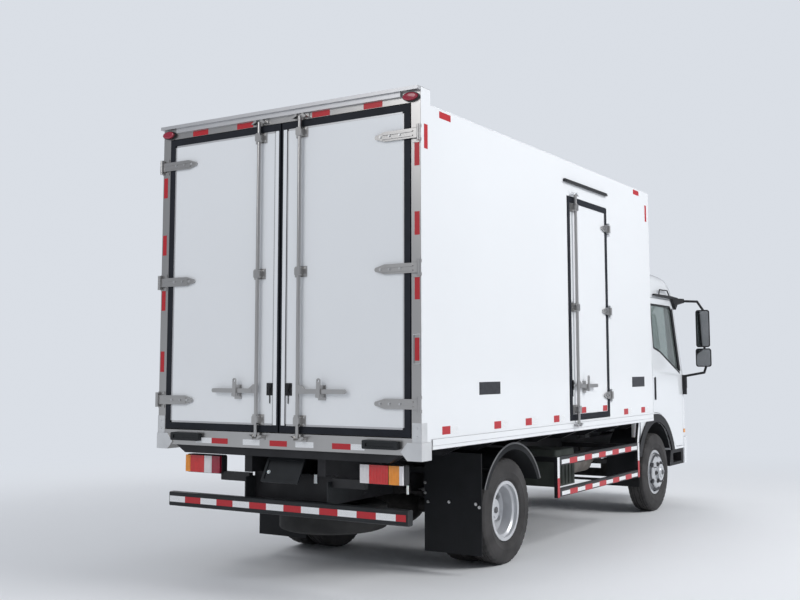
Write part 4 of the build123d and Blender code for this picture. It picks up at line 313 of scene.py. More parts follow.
def outset(outline, distance):
    """Grow a closed outline of (u, v) points along the bisectors of its corners."""
    grown = []
    count = len(outline)
    area = sum(outline[i - 1][0] * outline[i][1] - outline[i][0] * outline[i - 1][1] for i in range(count))
    turn = 1 if area > 0 else -1
    for place in range(count):
        before, here, after = (Vector(outline[(place + k) % count]) for k in (-1, 0, 1))
        first, second = (here - before).normalized(), (after - here).normalized()
        normal_a = Vector((first.y, -first.x)) * turn
        normal_b = Vector((second.y, -second.x)) * turn
        bisector = (normal_a + normal_b).normalized()
        grown.append(tuple(here + bisector * distance / max(0.3, bisector.dot(normal_a))))
    return grown


def tube(shape, loops, material=0):
    """Frame whose section runs through loops of equal length, closed in both directions."""
    rings = [[shape.verts.new(point) for point in loop] for loop in loops]
    for step, ring in enumerate(rings):
        following = rings[(step + 1) % len(rings)]
        for place in range(len(ring)):
            after = (place + 1) % len(ring)
            face = shape.faces.new((ring[place], following[place], following[after], ring[after]))
            face.material_index = material


def rounded(centre, width, height, radius, steps=6):
    """Outline of a rectangle with round corners as (u, v) points."""
    u, v = centre[0] + width / 2 - radius, centre[1] + height / 2 - radius
    low_u, low_v = centre[0] - width / 2 + radius, centre[1] - height / 2 + radius
    corners = (((u, v), 0), ((low_u, v), 90), ((low_u, low_v), 180), ((u, low_v), 270))
    return [point for middle, start in corners for point in arc_points(middle, radius, start, start + 90, steps)]


def arc_sheet(shape, centre, radii, span, angles, steps=40):
    """Bent sheet round a Y axle line: radii and span are its (low, high) radius and y."""
    loops = []
    for step in range(steps + 1):
        angle = radians(angles[0] + (angles[1] - angles[0]) * step / steps)
        loops.append([
            (centre[0] + r * cos(angle), y, centre[1] + r * sin(angle))
            for r, y in ((radii[0], span[0]), (radii[1], span[0]), (radii[1], span[1]), (radii[0], span[1]))
        ])
    stack(shape, loops)


def rivet(shape, place, out, radius):
    """Low domed head."""
    place, out = Vector(place), Vector(out)
    bar(shape, place, place + out * radius * 0.3, radius, 12, radius * 0.9)
    bar(shape, place + out * radius * 0.3, place + out * radius * 0.55, radius * 0.9, 12, radius * 0.5)


def turned(shape, profile, centre, segments, material=0):
    """Closed ring of (radius, y) points turned about a Y axle line."""
    rings = []
    for step in range(segments):
        angle = 2 * pi * step / segments
        points = profile(step) if callable(profile) else profile
        rings.append([
            shape.verts.new((centre[0] + r * cos(angle), centre[1] + y, centre[2] + r * sin(angle)))
            for r, y in points
        ])
    count = len(rings[0])
    for step, ring in enumerate(rings):
        following = rings[(step + 1) % segments]
        for place in range(count):
            after = (place + 1) % count
            face = shape.faces.new((ring[place], ring[after], following[after], following[place]))
            face.material_index = material


def arc_points(centre, radius, start, end, steps):
    """Points on a circle between two angles in degrees, both ends included."""
    for step in range(steps + 1):
        angle = radians(start + (end - start) * step / steps)
        yield centre[0] + radius * cos(angle), centre[1] + radius * sin(angle)


# Tyres: grooved tread with shoulder blocks, rounded walls and a rim band

TREAD_SEGMENTS = 168
GROOVE_DEPTH = 0.009
SIPE_EVERY = 4


def tyre_profile(step):
    """Radius and y round a tyre's section; every fourth step is a slot across the shoulder."""
    top = TYRE_RADIUS - 0.0002
    slot_drop = 0.006 if step % SIPE_EVERY == 0 else 0.0
    sway = 0.0025 * sin(2 * pi * step / 8)
    half = [
        (top, 0.006 + sway),
        (top, 0.019 + sway),
        (top - GROOVE_DEPTH, 0.0205 + sway),
        (top - GROOVE_DEPTH, 0.0255 + sway),
        (top, 0.027 + sway),
        (top, 0.043),
        (top - GROOVE_DEPTH, 0.0445),
        (top - GROOVE_DEPTH, 0.0495),
        (top - slot_drop * 0.5, 0.051),
        (top - 0.0015 - slot_drop, 0.064),
        (top - 0.006 - slot_drop, 0.0765),
        (top - 0.016 - slot_drop, 0.0842),
        (top - 0.028, 0.0868),
        (top - 0.030, 0.0882),
        (top - 0.034, 0.0884),
        (top - 0.055, 0.0935),
        (0.305, 0.0968),
        (0.288, 0.0974),
        (0.286, 0.0982),
        (0.281, 0.0982),
        (0.279, 0.0970),
        (0.262, 0.0938),
        (0.245, 0.0868),
        (0.243, 0.0872),
        (0.239, 0.0848),
        (0.237, 0.0832),
        (0.2285, 0.0742),
        (0.2215, 0.0690),
        (0.2035, 0.0668),
    ]
    other = [(r, -y) for r, y in reversed(half)]
    return half + other


def tyre(shape, centre, segments=TREAD_SEGMENTS):
    turned(shape, tyre_profile, centre, segments)


def tyre_piece(name, centres, body, node):
    shape = bmesh.new()
    for centre in centres:
        tyre(shape, centre)
    made = piece(name, shape, FINISHES["tyre_rubber"], body, smooth=28)
    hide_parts(node)


TWIN_CENTRES = [WHEEL_BOX[0].y + 0.0978, WHEEL_BOX[1].y - 0.0978]
for side, hand in SIDES:
    tyre_piece(
        "rear_tyre_treads_" + hand,
        [(REAR_AXLE_X, side * y, WHEEL_Z) for y in TWIN_CENTRES],
        "rear_wheels_" + hand,
        "rear_tyres_" + hand,
    )
    tyre_piece(
        "front_tyre_tread_" + hand,
        [(FRONT_AXLE_X, side * FRONT_WHEEL_Y, WHEEL_Z)],
        "front_wheel_" + hand,
        "front_tyre_" + hand,
    )

# Wheel nuts, valve stems and hub caps

NUT_CIRCLE = 0.098
NUT_COUNT = 6
STEM_CIRCLE = 0.142
STEM_TURN = 0.4
# The dark ring behind the hand holes is painted shade: a thin sheet standing in for the shadow inside the wheel
PAINTED_SHADE_RING_RADII = (0.126, 0.186)
PAINTED_SHADE_RING_DEPTH = 0.022
PAINTED_SHADE_RING_STEPS = 48


def wheel_dressing(name, axle_x, face_y, side, body, hub_out):
    """Nuts on the disc, a cap hub_out beyond it, a valve stem and a dark ring behind the hand holes, painted shade
    that stands in for the shadow inside the wheel.
    """
    shape = bmesh.new()
    out = Vector((0, side, 0))
    for turn in range(NUT_COUNT):
        angle = 2 * pi * turn / NUT_COUNT
        place = Vector((axle_x + NUT_CIRCLE * cos(angle), side * face_y, WHEEL_Z + NUT_CIRCLE * sin(angle)))
        bolt(shape, place, out, 0.0165)
        bar(shape, place + out * 0.014, place + out * 0.026, 0.0095, 14)
    centre = Vector((axle_x, side * face_y, WHEEL_Z))
    bar(shape, centre + out * hub_out, centre + out * (hub_out + 0.012), 0.058, 40, 0.05, material=1)
    bar(shape, centre + out * (hub_out + 0.012), centre + out * (hub_out + 0.02), 0.024, 6)
    # Dark ring behind the hand holes: painted shade seen through them
    turns = [2 * pi * step / PAINTED_SHADE_RING_STEPS for step in range(PAINTED_SHADE_RING_STEPS)]
    inner, outer = PAINTED_SHADE_RING_RADII
    tube(shape, [
        [centre - out * (PAINTED_SHADE_RING_DEPTH - lift) + Vector((radius * cos(t), 0, radius * sin(t))) for t in turns]
        for radius, lift in ((inner, 0), (outer, 0), (outer, 0.001), (inner, 0.001))
    ], 2)
    stem = Vector((
        axle_x - STEM_CIRCLE * cos(STEM_TURN), side * (face_y - 0.006), WHEEL_Z + STEM_CIRCLE * sin(STEM_TURN)
    ))
    bar(shape, stem, stem + out * 0.03, 0.0035, 10)
    piece(name, shape, [NUT_STEEL, FINISHES["rim_silver"], DARK_SIGN_AND_PAINTED_SHADE], body, smooth=40)


FRONT_DISC_Y = FRONT_WHEEL_Y + 0.118
REAR_DISC_Y = TWIN_CENTRES[1] - 0.108
for side, hand in SIDES:
    wheel_dressing("front_wheel_nuts_" + hand, FRONT_AXLE_X, FRONT_DISC_Y, side, "front_wheel_" + hand, 0.024)
    wheel_dressing("rear_wheel_nuts_" + hand, REAR_AXLE_X, REAR_DISC_Y, side, "rear_wheels_" + hand, 0.088)

# Retroreflective tape: red and white stretches on one carrier each

TAPE = 0.0007


def tape(name, boxes, body):
    """boxes are (low corner, high corner, colour), where colour 0 is red and 1 is white."""
    shape = bmesh.new()
    for low, high, colour in boxes:
        slab(shape, low, high, colour)
    piece(name, shape, [TAPE_RED, TAPE_WHITE], body)


RED, WHITE = 0, 1
HEADER_TAPE = ((0.690, 0.840, RED), (0.262, 0.412, RED), (-0.412, -0.262, RED), (-0.840, -0.690, RED))
SILL_TAPE = (
    # low y, high y, colour
    (0.608, 0.758, WHITE), (0.457, 0.607, RED), (0.168, 0.319, WHITE), (-0.070, 0.080, RED),
    (-0.294, -0.142, WHITE), (-0.595, -0.446, RED), (-0.705, -0.596, WHITE),
)
POST_TAPE = (
    # low z, high z of the red stretches on the left post, and of those on the right one
    ((2.715, 2.865), (2.285, 2.435), (1.875, 2.025), (1.425, 1.575)),
    ((2.735, 2.885), (2.290, 2.440), (1.880, 2.030), (1.495, 1.640)),
)
boxes = [((BOX_REAR_X - TAPE, a, 3.152), (BOX_REAR_X, b, 3.191), c) for a, b, c in HEADER_TAPE]
boxes += [((BOX_REAR_X - TAPE, a, 0.924), (BOX_REAR_X, b, 0.962), c) for a, b, c in SILL_TAPE]
for (side, hand), stretches in zip(SIDES, POST_TAPE):
    y0, y1 = sorted((side * 1.086, side * 1.124))
    boxes += [((BOX_REAR_X - TAPE, y0, a), (BOX_REAR_X, y1, b), RED) for a, b in stretches]
tape("rear_frame_tape", boxes, "chassis")

BUMPER_FACE = REAR_AXLE_X - 1.493
BUMPER_PITCH = 0.150
boxes = []
edge = 1.017
colour = WHITE
while edge > -1.007:
    end = max(edge - BUMPER_PITCH, -1.008)
    boxes.append(((BUMPER_FACE - TAPE, end, 0.494), (BUMPER_FACE, edge, 0.536), colour))
    edge = end
    colour = RED if colour == WHITE else WHITE
tape("bumper_tape", boxes, "chassis")

SIDE_MARKS = (-1.200, -0.483, 0.015, 0.516, 2.034, 2.481)
DOOR_MARKS = (1.061, 1.531)
PLAIN_WALL_MARKS = (1.03, 1.5)
MARK_Z = 1.049
boxes = []
SKIN_OUT = 0.0006
SKIN_END = BOX_REAR_X + 0.120
UPPER_MARKS = (
    # x, z, width, height
    (-1.199, 3.11, 0.15, 0.045), (-1.445, 2.932, 0.045, 0.16),
    (2.412, 3.11, 0.15, 0.045), (2.668, 2.94, 0.045, 0.16),
)
for side in (1, -1):
    y0, y1 = sorted((side * HALF_BOX, side * (HALF_BOX + TAPE)))
    places = SIDE_MARKS if side < 0 else SIDE_MARKS + PLAIN_WALL_MARKS
    for place in places:
        x = REAR_AXLE_X + place
        boxes.append(((x - 0.052, y0, MARK_Z - 0.026), (x + 0.052, y1, MARK_Z + 0.026), RED))
        boxes.append(((x + 0.052, y0, MARK_Z - 0.026), (x + 0.150, y1, MARK_Z + 0.026), WHITE))
    for x, z, width, height in UPPER_MARKS:
        x += REAR_AXLE_X
        face = HALF_BOX + SKIN_OUT if x - width / 2 < SKIN_END else HALF_BOX
        low_y, high_y = sorted((side * face, side * (face + TAPE)))
        boxes.append(((x - width / 2, low_y, z - height / 2), (x + width / 2, high_y, z + height / 2), RED))
tape("side_wall_tape", boxes, "chassis")
boxes = []
for place in DOOR_MARKS:
    x = REAR_AXLE_X + place
    boxes.append(((x - 0.05, WALL_Y - TAPE, 1.074), (x + 0.05, WALL_Y, 1.122), RED))
    boxes.append(((x + 0.05, WALL_Y - TAPE, 1.074), (x + 0.11, WALL_Y, 1.122), WHITE))
tape("side_door_tape", boxes, "side_door")

GUARD_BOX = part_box("side_guards")
GUARD_STRETCHES = 11
WHITE_TRIM = 0.006
boxes = []
for side in (1, -1):
    y0, y1 = sorted((side * GUARD_BOX[1].y, side * (GUARD_BOX[1].y + TAPE)))
    start, stop = GUARD_BOX[0].x + 0.085, GUARD_BOX[1].x - 0.060
    pitch = (stop - start) / GUARD_STRETCHES
    for low, high in ((0.428, 0.472), (0.674, 0.720)):
        for place in range(GUARD_STRETCHES):
            x = start + place * pitch
            colour, trim = (RED, 0.0) if place % 2 else (WHITE, WHITE_TRIM)
            boxes.append(((x, y0, low + trim), (x + pitch, y1, high - trim), colour))
    for low_x in (GUARD_BOX[0].x + 0.001, GUARD_BOX[1].x - 0.044):
        boxes.append(((low_x, y0, 0.422), (low_x + 0.043, y1, 0.575), RED))
        boxes.append(((low_x, y0, 0.575), (low_x + 0.043, y1, 0.738), WHITE))
tape("side_guard_tape", boxes, "chassis")

# Tail lamps: coloured lenses on the housings

LAMP_FACE = REAR_AXLE_X - 1.418
LAMP_LENSES = {
    # |y| of each lens's ends, lens
    1: ((0.607, 0.684, 3), (0.684, 0.756, 2), (0.756, 0.890, 0), (0.890, 0.937, 1)),
    -1: ((0.607, 0.680, 2), (0.680, 0.828, 0), (0.832, 0.912, 1), (0.912, 0.937, 2)),
}
LENS_LOW, LENS_HIGH = 0.707, 0.827
shape = bmesh.new()
for side, lenses in LAMP_LENSES.items():
    for near, far, lens in lenses:
        y0, y1 = sorted((side * near, side * far))
        slab(shape, (LAMP_FACE - 0.004, y0 + 0.0008, LENS_LOW), (LAMP_FACE + 0.017, y1 - 0.0008, LENS_HIGH), lens)
        ribs = max(2, int((y1 - y0) / 0.012))
        for rib in range(ribs):
            y = y0 + 0.004 + (y1 - y0 - 0.008) * (rib + 0.5) / ribs
            low = (LAMP_FACE - 0.0058, y - 0.0016, LENS_LOW + 0.006)
            slab(shape, low, (LAMP_FACE - 0.003, y + 0.0016, LENS_HIGH - 0.006), lens)
piece("tail_lamp_lenses", shape, [LENS_RED, LENS_AMBER, LENS_CLEAR, LENS_DARK_RED], "chassis", bevel=0.001)

MARKER_Y, MARKER_Z = 1.067, 3.185
MARKER_SECTIONS = (
    # distance behind the frame, half width, half height
    (0.0175, 0.0555, 0.0265), (0.0265, 0.0552, 0.0262), (0.0300, 0.050, 0.022), (0.0315, 0.036, 0.014),
)
shape = bmesh.new()
for side in (1, -1):
    loops = []
    for out, wide, high in MARKER_SECTIONS:
        angles = [2 * pi * step / 40 for step in range(40)]
        loops.append([
            (BOX_REAR_X - out, side * MARKER_Y + wide * cos(angle), MARKER_Z + high * sin(angle))
            for angle in angles
        ])
    stack(shape, loops)
piece("marker_lenses", shape, LENS_DARK_RED, "chassis", smooth=35)

# Rear portal: painted corner castings, white side skins, white strips over the side rails as a painted highlight,
# silver loop round the right post's reflector

CAST_BOTTOM, CAST_TOP, CAST_POST_TOP = 0.872, 0.985, 1.108
shape = bmesh.new()
for side in (1, -1):
    outer = side * (HALF_BOX + 0.006)
    inner = side * (HALF_BOX - 0.1)
    outline = [
        (outer, CAST_BOTTOM), (outer, CAST_TOP), (inner, CAST_TOP), (side * (HALF_BOX - 0.15), 0.925),
        (inner, CAST_BOTTOM),
    ]
    plate(shape, outline, 0, BOX_REAR_X - 0.0068, BOX_REAR_X - 0.0058)
    y0, y1 = sorted((outer - side * 0.0002, outer + side * 0.0008))
    slab(shape, (BOX_REAR_X - 0.006, y0, CAST_BOTTOM), (BOX_REAR_X + 0.114, y1, CAST_TOP))
    y0, y1 = sorted((side * (HALF_BOX - 0.066), side * (HALF_BOX + 0.002)))
    slab(shape, (BOX_REAR_X - 0.002, y0, CAST_TOP), (BOX_REAR_X + 0.0002, y1, CAST_POST_TOP))
    y0, y1 = sorted((side * (HALF_BOX - 0.0002), side * (HALF_BOX + 0.002)))
    slab(shape, (BOX_REAR_X - 0.002, y0, CAST_TOP), (BOX_REAR_X + 0.07, y1, CAST_POST_TOP))
    for z in (1.02, 1.075):
        rivet(shape, (BOX_REAR_X - 0.002, side * (HALF_BOX - 0.03), z), (-1, 0, 0), 0.009)
piece("corner_castings", shape, CASTING, "chassis", bevel=0.0004)

shape = bmesh.new()
for side in (1, -1):
    y0, y1 = sorted((side * (HALF_BOX - 0.0002), side * (HALF_BOX + SKIN_OUT)))
    slab(shape, (BOX_REAR_X + 0.003, y0, CAST_TOP), (SKIN_END, y1, 3.245))
    # White strips over the aluminium side rails: a painted highlight standing in for the glare on the brightly lit
    # rails; the gap between the strips leaves a thin grey line
    y0, y1 = sorted((side * (HALF_BOX + 0.0078), side * (HALF_BOX + 0.0084)))
    for low, high in ((0.937, 0.958), (0.961, 1.000)):
        slab(shape, (BOX_REAR_X + 0.125, y0, low), (REAR_AXLE_X + 2.745, y1, high))
piece("portal_skins_and_rail_highlights", shape, FINISHES["panel_white"], "chassis")

shape = bmesh.new()
LOOP_CORNERS = ((-1.127, 1.475), (-1.127, 1.660), (-1.077, 1.660), (-1.077, 1.475))
FRAME_LOOP = [(BOX_REAR_X - 0.004, y, z) for y, z in LOOP_CORNERS]
path(shape, FRAME_LOOP + FRAME_LOOP[:1], 0.0035)
piece("portal_hardware", shape, ZINC, "chassis", smooth=40)

# Rear doors: strips over the centre seals, edge mouldings, bolts and the black latches beside the centre line

DOOR_LOW, DOOR_HIGH, DOOR_INNER, DOOR_OUTER = 1.063, 3.098, 0.049, 1.010
EDGE = 0.013
STRAP_LEVELS = (1.224, 2.0805, 2.945)
REAR_GUIDES = (1.100, 2.1005, 3.060)
ROD_Y = 0.18
for side, hand in SIDES:
    shape = bmesh.new()
    y0, y1 = sorted((side * 0.0205, side * 0.0505))
    slab(shape, (BOX_REAR_X - 0.0062, y0, 1.066), (BOX_REAR_X - 0.0046, y1, 3.095))
    piece("rear_door_cover_strip_" + hand, shape, FINISHES["panel_white"], "rear_door_" + hand)
for side, hand in SIDES:
    body = "rear_door_" + hand
    shape = bmesh.new()
    y0, y1 = sorted((side * DOOR_INNER, side * DOOR_OUTER))
    for low, high in (
        ((y0, DOOR_LOW), (y1, DOOR_LOW + EDGE)), ((y0, DOOR_HIGH - EDGE), (y1, DOOR_HIGH)),
        ((y0, DOOR_LOW), (y0 + EDGE, DOOR_HIGH)), ((y1 - EDGE, DOOR_LOW), (y1, DOOR_HIGH)),
    ):
        slab(shape, (BOX_REAR_X - 0.0016, *low), (BOX_REAR_X + 0.0002, *high))
    piece("door_edge_moulding_" + hand, shape, FINISHES["moulding_aluminium"], body)
    shape = bmesh.new()
    for z in STRAP_LEVELS:
        for y in (0.835, 0.905, 0.985):
            bolt(shape, (BOX_REAR_X - 0.0173, side * y, z), (-1, 0, 0), 0.0075)
    for z in REAR_GUIDES:
        for dz in (-0.022, 0.022):
            for dy in (-0.036, 0.036):
                bolt(shape, (BOX_REAR_X - 0.006, side * (ROD_Y + dy), z + dz), (-1, 0, 0), 0.0055)
    piece("door_bolts_" + hand, shape, ZINC, body, smooth=40)
    shape = bmesh.new()
    middle = side * 0.080
    slab(shape, (BOX_REAR_X - 0.004, middle - 0.030, 1.266), (BOX_REAR_X, middle + 0.030, 1.350))
    bar(shape, (BOX_REAR_X - 0.004, middle, 1.330), (BOX_REAR_X - 0.013, middle, 1.330), 0.017, 20)
    bar(shape, (BOX_REAR_X - 0.004, middle, 1.290), (BOX_REAR_X - 0.011, middle, 1.290), 0.014, 20)
    slab(shape, (BOX_REAR_X - 0.016, middle - 0.006, 1.284), (BOX_REAR_X - 0.011, middle + 0.006, 1.336))
    bar(shape, (BOX_REAR_X - 0.005, middle, 1.268), (BOX_REAR_X - 0.005, middle, 1.212), 0.0035, 8)
    piece("door_latch_" + hand, shape, FINISHES["trim_black"], body, smooth=40, bevel=0.0008)

# Right side wall: gutter over the side door, blank dark signs, side door latch

shape = bmesh.new()
x0, x1 = REAR_AXLE_X + 0.700, REAR_AXLE_X + 1.638
plate(shape, [(x0, 2.966), (x1, 2.966), (x1 - 0.012, 2.990), (x0 + 0.012, 2.990)], 1, WALL_Y - 0.020, WALL_Y)
slab(shape, (x0 + 0.02, WALL_Y - 0.028, 2.966), (x1 - 0.02, WALL_Y - 0.018, 2.976))
piece("side_door_gutter", shape, FINISHES["trim_black"], "chassis", bevel=0.002)

shape = bmesh.new()
for low, high in (((-0.751, 1.265), (-0.438, 1.352)), ((2.204, 1.267), (2.533, 1.360))):
    x0, x1 = REAR_AXLE_X + low[0], REAR_AXLE_X + high[0]
    slab(shape, (x0, WALL_Y - 0.0012, low[1]), (x1, WALL_Y, high[1]))
    for x in (x0 + 0.02, x1 - 0.02):
        rivet(shape, (x, WALL_Y - 0.0012, (low[1] + high[1]) / 2), (0, -1, 0), 0.005)
piece("side_signs", shape, DARK_SIGN_AND_PAINTED_SHADE, "chassis", bevel=0.0004)

SIDE_ROD_X = REAR_AXLE_X + 0.885
shape = bmesh.new()
latch_x = SIDE_ROD_X - 0.052
slab(shape, (latch_x - 0.022, WALL_Y - 0.005, 1.266), (latch_x + 0.022, WALL_Y - 0.001, 1.346))
bar(shape, (latch_x, WALL_Y - 0.004, 1.324), (latch_x, WALL_Y - 0.014, 1.324), 0.015, 20)
bar(shape, (latch_x, WALL_Y - 0.004, 1.288), (latch_x, WALL_Y - 0.012, 1.288), 0.012, 20)
bar(shape, (latch_x, WALL_Y - 0.005, 1.268), (latch_x, WALL_Y - 0.005, 1.215), 0.0035, 8)
piece("side_door_latch", shape, FINISHES["trim_black"], "side_door", smooth=40, bevel=0.0008)
shape = bmesh.new()
for z in (1.207, 1.939, 2.670):
    for dx in (0.045, 0.105):
        bolt(shape, (REAR_AXLE_X + 1.640 - dx, WALL_Y - 0.0173, z), (0, -1, 0), 0.0065)
for z in (1.110, 1.959, 2.768):
    for dz in (-0.022, 0.022):
        for dx in (-0.036, 0.036):
            bolt(shape, (SIDE_ROD_X + dx, WALL_Y - 0.006, z + dz), (0, -1, 0), 0.005)
piece("side_door_bolts", shape, ZINC, "side_door", smooth=40)

# Rear end: flap bolts, plate holder bolt, small label and the white strip below the right lamp

FLAP_FACE = REAR_AXLE_X - 0.511
shape = bmesh.new()
for side in (1, -1):
    for y, z in ((0.549, 0.621), (0.549, 0.549), (0.573, 0.486), (0.749, 0.495), (0.967, 0.493), (0.995, 0.472)):
        bolt(shape, (FLAP_FACE, side * y, z), (-1, 0, 0), 0.0085)
piece("flap_bolts", shape, ZINC, "chassis", smooth=40)
shape = bmesh.new()
bolt(shape, (REAR_AXLE_X - 1.466, 0.118, 0.745), (-0.88, 0, 0.47), 0.010)
slab(shape, (REAR_AXLE_X - 1.3425, -0.200, 0.672), (REAR_AXLE_X - 1.3398, -0.173, 0.732))
slab(shape, (LAMP_FACE + 0.030, -0.960, 0.650), (LAMP_FACE + 0.036, -0.946, 0.705))
piece("rear_small_parts", shape, BOTTLE, "chassis", bevel=0.0006)

# Under the box: bottle, hangers over the guards' front posts, grey beads on the mudguard lips as a painted
# highlight, arch liners, frame rivets

BOTTLE_PLACE = (REAR_AXLE_X + 2.640, -0.985)
shape = bmesh.new()
x, y = BOTTLE_PLACE
bar(shape, (x, y, 0.780), (x, y, 0.905), 0.030, 28)
bar(shape, (x, y, 0.905), (x, y, 0.918), 0.030, 28, 0.016)
bar(shape, (x, y, 0.918), (x, y, 0.932), 0.018, 20)
slab(shape, (x + 0.020, y - 0.012, 0.800), (x + 0.046, y + 0.012, 0.880))
slab(shape, (x + 0.044, y - 0.014, 0.790), (x + 0.052, y + 0.014, 0.935))
piece("reservoir_bottle", shape, BOTTLE, "chassis", smooth=35)

shape = bmesh.new()
for side in (1, -1):
    y0, y1 = sorted((side * (GUARD_BOX[1].y - 0.028), side * (GUARD_BOX[1].y - 0.004)))
    x = GUARD_BOX[1].x
    outline = [(x - 0.043, 0.735), (x - 0.003, 0.735), (x + 0.052, 0.934), (x + 0.012, 0.934)]
    plate(shape, outline, 1, y0, y1, 0)
    face = y0 if side < 0 else y1
    y0, y1 = sorted((face, face + side * TAPE))
    plate(shape, outline, 1, y0, y1, 1)
piece("guard_hangers", shape, [FINISHES["guard_black"], TAPE_WHITE], "chassis")

# Grey beads along the rear mudguards' lips: a painted highlight where the lip catches the light
shape = bmesh.new()
for side in (1, -1):
    y0, y1 = sorted((side * 1.009, side * 1.0125))
    arc_sheet(shape, (REAR_AXLE_X, WHEEL_Z), (0.494, 0.5065), (y0, y1), (24, 156), 60)
piece("mudguard_lip_highlights", shape, FINISHES["trim_grey"], "chassis", smooth=30)

shape = bmesh.new()
for side in (1, -1):
    y0, y1 = sorted((side * 0.60, side * 0.935))
    arc_sheet(shape, (FRONT_AXLE_X, WHEEL_Z), (0.497, 0.502), (y0, y1), (25, 192), 60)
piece("arch_liners", shape, FINISHES["mudguard_plastic"], "chassis", smooth=30)

shape = bmesh.new()
for side in (1, -1):
    for step in range(21):
        x = REAR_AXLE_X - 1.20 + 0.2 * step
        for z in (0.585, 0.695):
            rivet(shape, (x, side * 0.350, z), (0, side, 0), 0.010)
piece("frame_rivets", shape, FINISHES["frame_black"], "chassis", smooth=35)

# Cab sides: black window frames, handles, indicator lenses, mirror glass and rims

BELT = 1.400
SIDE_LEAN = 0.05485
CAB_HALF = 0.945


def on_side(side, lift, points):
    """Points of a cab side's outline, lifted off its leaning surface."""
    return [(x, side * (CAB_HALF - SIDE_LEAN * max(0.0, z - BELT) + lift), z) for x, z in points]


F = FRONT_AXLE_X
WINDOW = [(F + x, z) for x, z in (
    (0.025, 1.650), (0.025, 2.098), (0.640, 2.098), (0.692, 2.062), (0.812, 1.388), (0.528, 1.493), (0.212, 1.612),
)]
FRONT_BAND = [(F + x, z) for x, z in ((0.690, 2.072), (0.730, 2.080), (0.852, 1.410), (0.812, 1.402))]
for side, hand in SIDES:
    body = "cab_door_" + hand
    shape = bmesh.new()
    grown, shrunk = outset(WINDOW, 0.010), outset(WINDOW, -0.010)
    tube(shape, [
        on_side(side, 0.0016, grown), on_side(side, 0.0016, shrunk), on_side(side, -0.0125, shrunk),
        on_side(side, -0.003, grown),
    ])
    stack(shape, [on_side(side, 0.0014, FRONT_BAND), on_side(side, -0.002, FRONT_BAND)])
    piece("window_frame_" + hand, shape, FINISHES["trim_black"], body)
    shape = bmesh.new()
    y0, y1 = sorted((side * 0.9435, side * 0.9512))
    plate(shape, rounded((F + 0.017, 1.230), 0.030, 0.234, 0.012), 1, y0, y1)
    y0, y1 = sorted((side * 0.9268, side * 0.9276))
    slab(shape, (F - 0.0175, y0, 1.117), (F + 0.0515, y1, 1.343))
    piece("door_handle_" + hand, shape, FINISHES["trim_black"], body, smooth=35)

shape = bmesh.new()
for side in (1, -1):
    y0, y1 = sorted((side * 0.9445, side * 0.9515))
    plate(shape, rounded((F + 0.919, 0.758), 0.046, 0.040, 0.010), 1, y0, y1)
piece("side_indicators", shape, LENS_AMBER, "chassis", smooth=35)

MIRROR_X = F + 0.880
shape = bmesh.new()
for side in (1, -1):
    for centre, width, low, high in ((1.196, 0.130, 1.674, 2.056), (1.197, 0.148, 1.461, 1.639)):
        outline = rounded((side * centre, (low + high) / 2), width, high - low, 0.022)
        plate(shape, outline, 0, MIRROR_X - 0.0012, MIRROR_X + 0.001)
piece("mirror_panes", shape, MIRROR_GLASS, "chassis")
shape = bmesh.new()
for side in (1, -1):
    for centre, width, low, high in ((1.196, 0.152, 1.662, 2.068), (1.197, 0.170, 1.450, 1.650)):
        middle = (side * centre, (low + high) / 2)
        outer = rounded(middle, width, high - low, 0.028)
        inner = rounded(middle, width - 0.020, high - low - 0.020, 0.020)
        tube(shape, [
            [(MIRROR_X - 0.004, *point) for point in inner], [(MIRROR_X - 0.005, *point) for point in outer],
            [(MIRROR_X + 0.003, *point) for point in outer], [(MIRROR_X + 0.001, *point) for point in inner],
        ])
    y0, y1 = sorted((side * 0.9456, side * 0.984))
    outline = [(F + 0.897, 1.245), (F + 0.940, 1.222), (F + 0.940, 1.150), (F + 0.904, 1.150)]
    plate(shape, outline, 1, y0, y1)
piece("mirror_rims", shape, FINISHES["trim_black"], "chassis", smooth=35)

# Face of the cab: windscreen gasket, wipers, fog lamps, a blank plate, and the slot's grille bars in front of a
# dark sheet that is painted shade for the slot's depth


def screen_x(z):
    """X of the windscreen's outer face at a height."""
    return F + 1.040 - (z - 1.290) * 0.2135


SCREEN = [(y, z) for y, z in ((-0.780, 1.330), (0.780, 1.330), (0.780, 2.150), (-0.780, 2.150))]
shape = bmesh.new()
grown, shrunk = outset(SCREEN, 0.006), outset(SCREEN, -0.016)
tube(shape, [
    [(screen_x(z) + lift, y, z) for y, z in outline]
    for lift, outline in ((0.0016, grown), (0.0016, shrunk), (-0.006, shrunk), (-0.004, grown))
])
piece("windscreen_gasket", shape, FINISHES["seal_rubber"], "chassis")
shape = bmesh.new()
for pivot, tip in ((0.62, 0.08), (-0.02, -0.56)):
    foot = (screen_x(1.345) + 0.012, pivot, 1.345)
    elbow = (screen_x(1.40) + 0.022, (pivot * 2 + tip) / 3, 1.40)
    end = (screen_x(1.43) + 0.014, tip + 0.16, 1.43)
    bar(shape, (foot[0] - 0.014, foot[1], foot[2]), (foot[0] + 0.012, foot[1], foot[2]), 0.017, 20)
    path(shape, [foot, elbow, end], 0.005)
    slab(shape, (screen_x(1.425) + 0.001, tip - 0.08, 1.418), (screen_x(1.425) + 0.010, tip + 0.46, 1.432))
piece("wipers", shape, FINISHES["trim_black"], "chassis", smooth=35)
shape = bmesh.new()
for side in (1, -1):
    start = Vector((F + 1.056, side * 0.640, 0.500))
    bar(shape, start, start + Vector((0.022, side * 0.002, 0)), 0.052, 32)
    bar(shape, start + Vector((0.022, 0, 0)), start + Vector((0.028, 0, 0)), 0.044, 32, 0.034, material=1)
piece("fog_lamps", shape, [FINISHES["trim_black"], LENS_CLEAR], "chassis", smooth=35)
shape = bmesh.new()
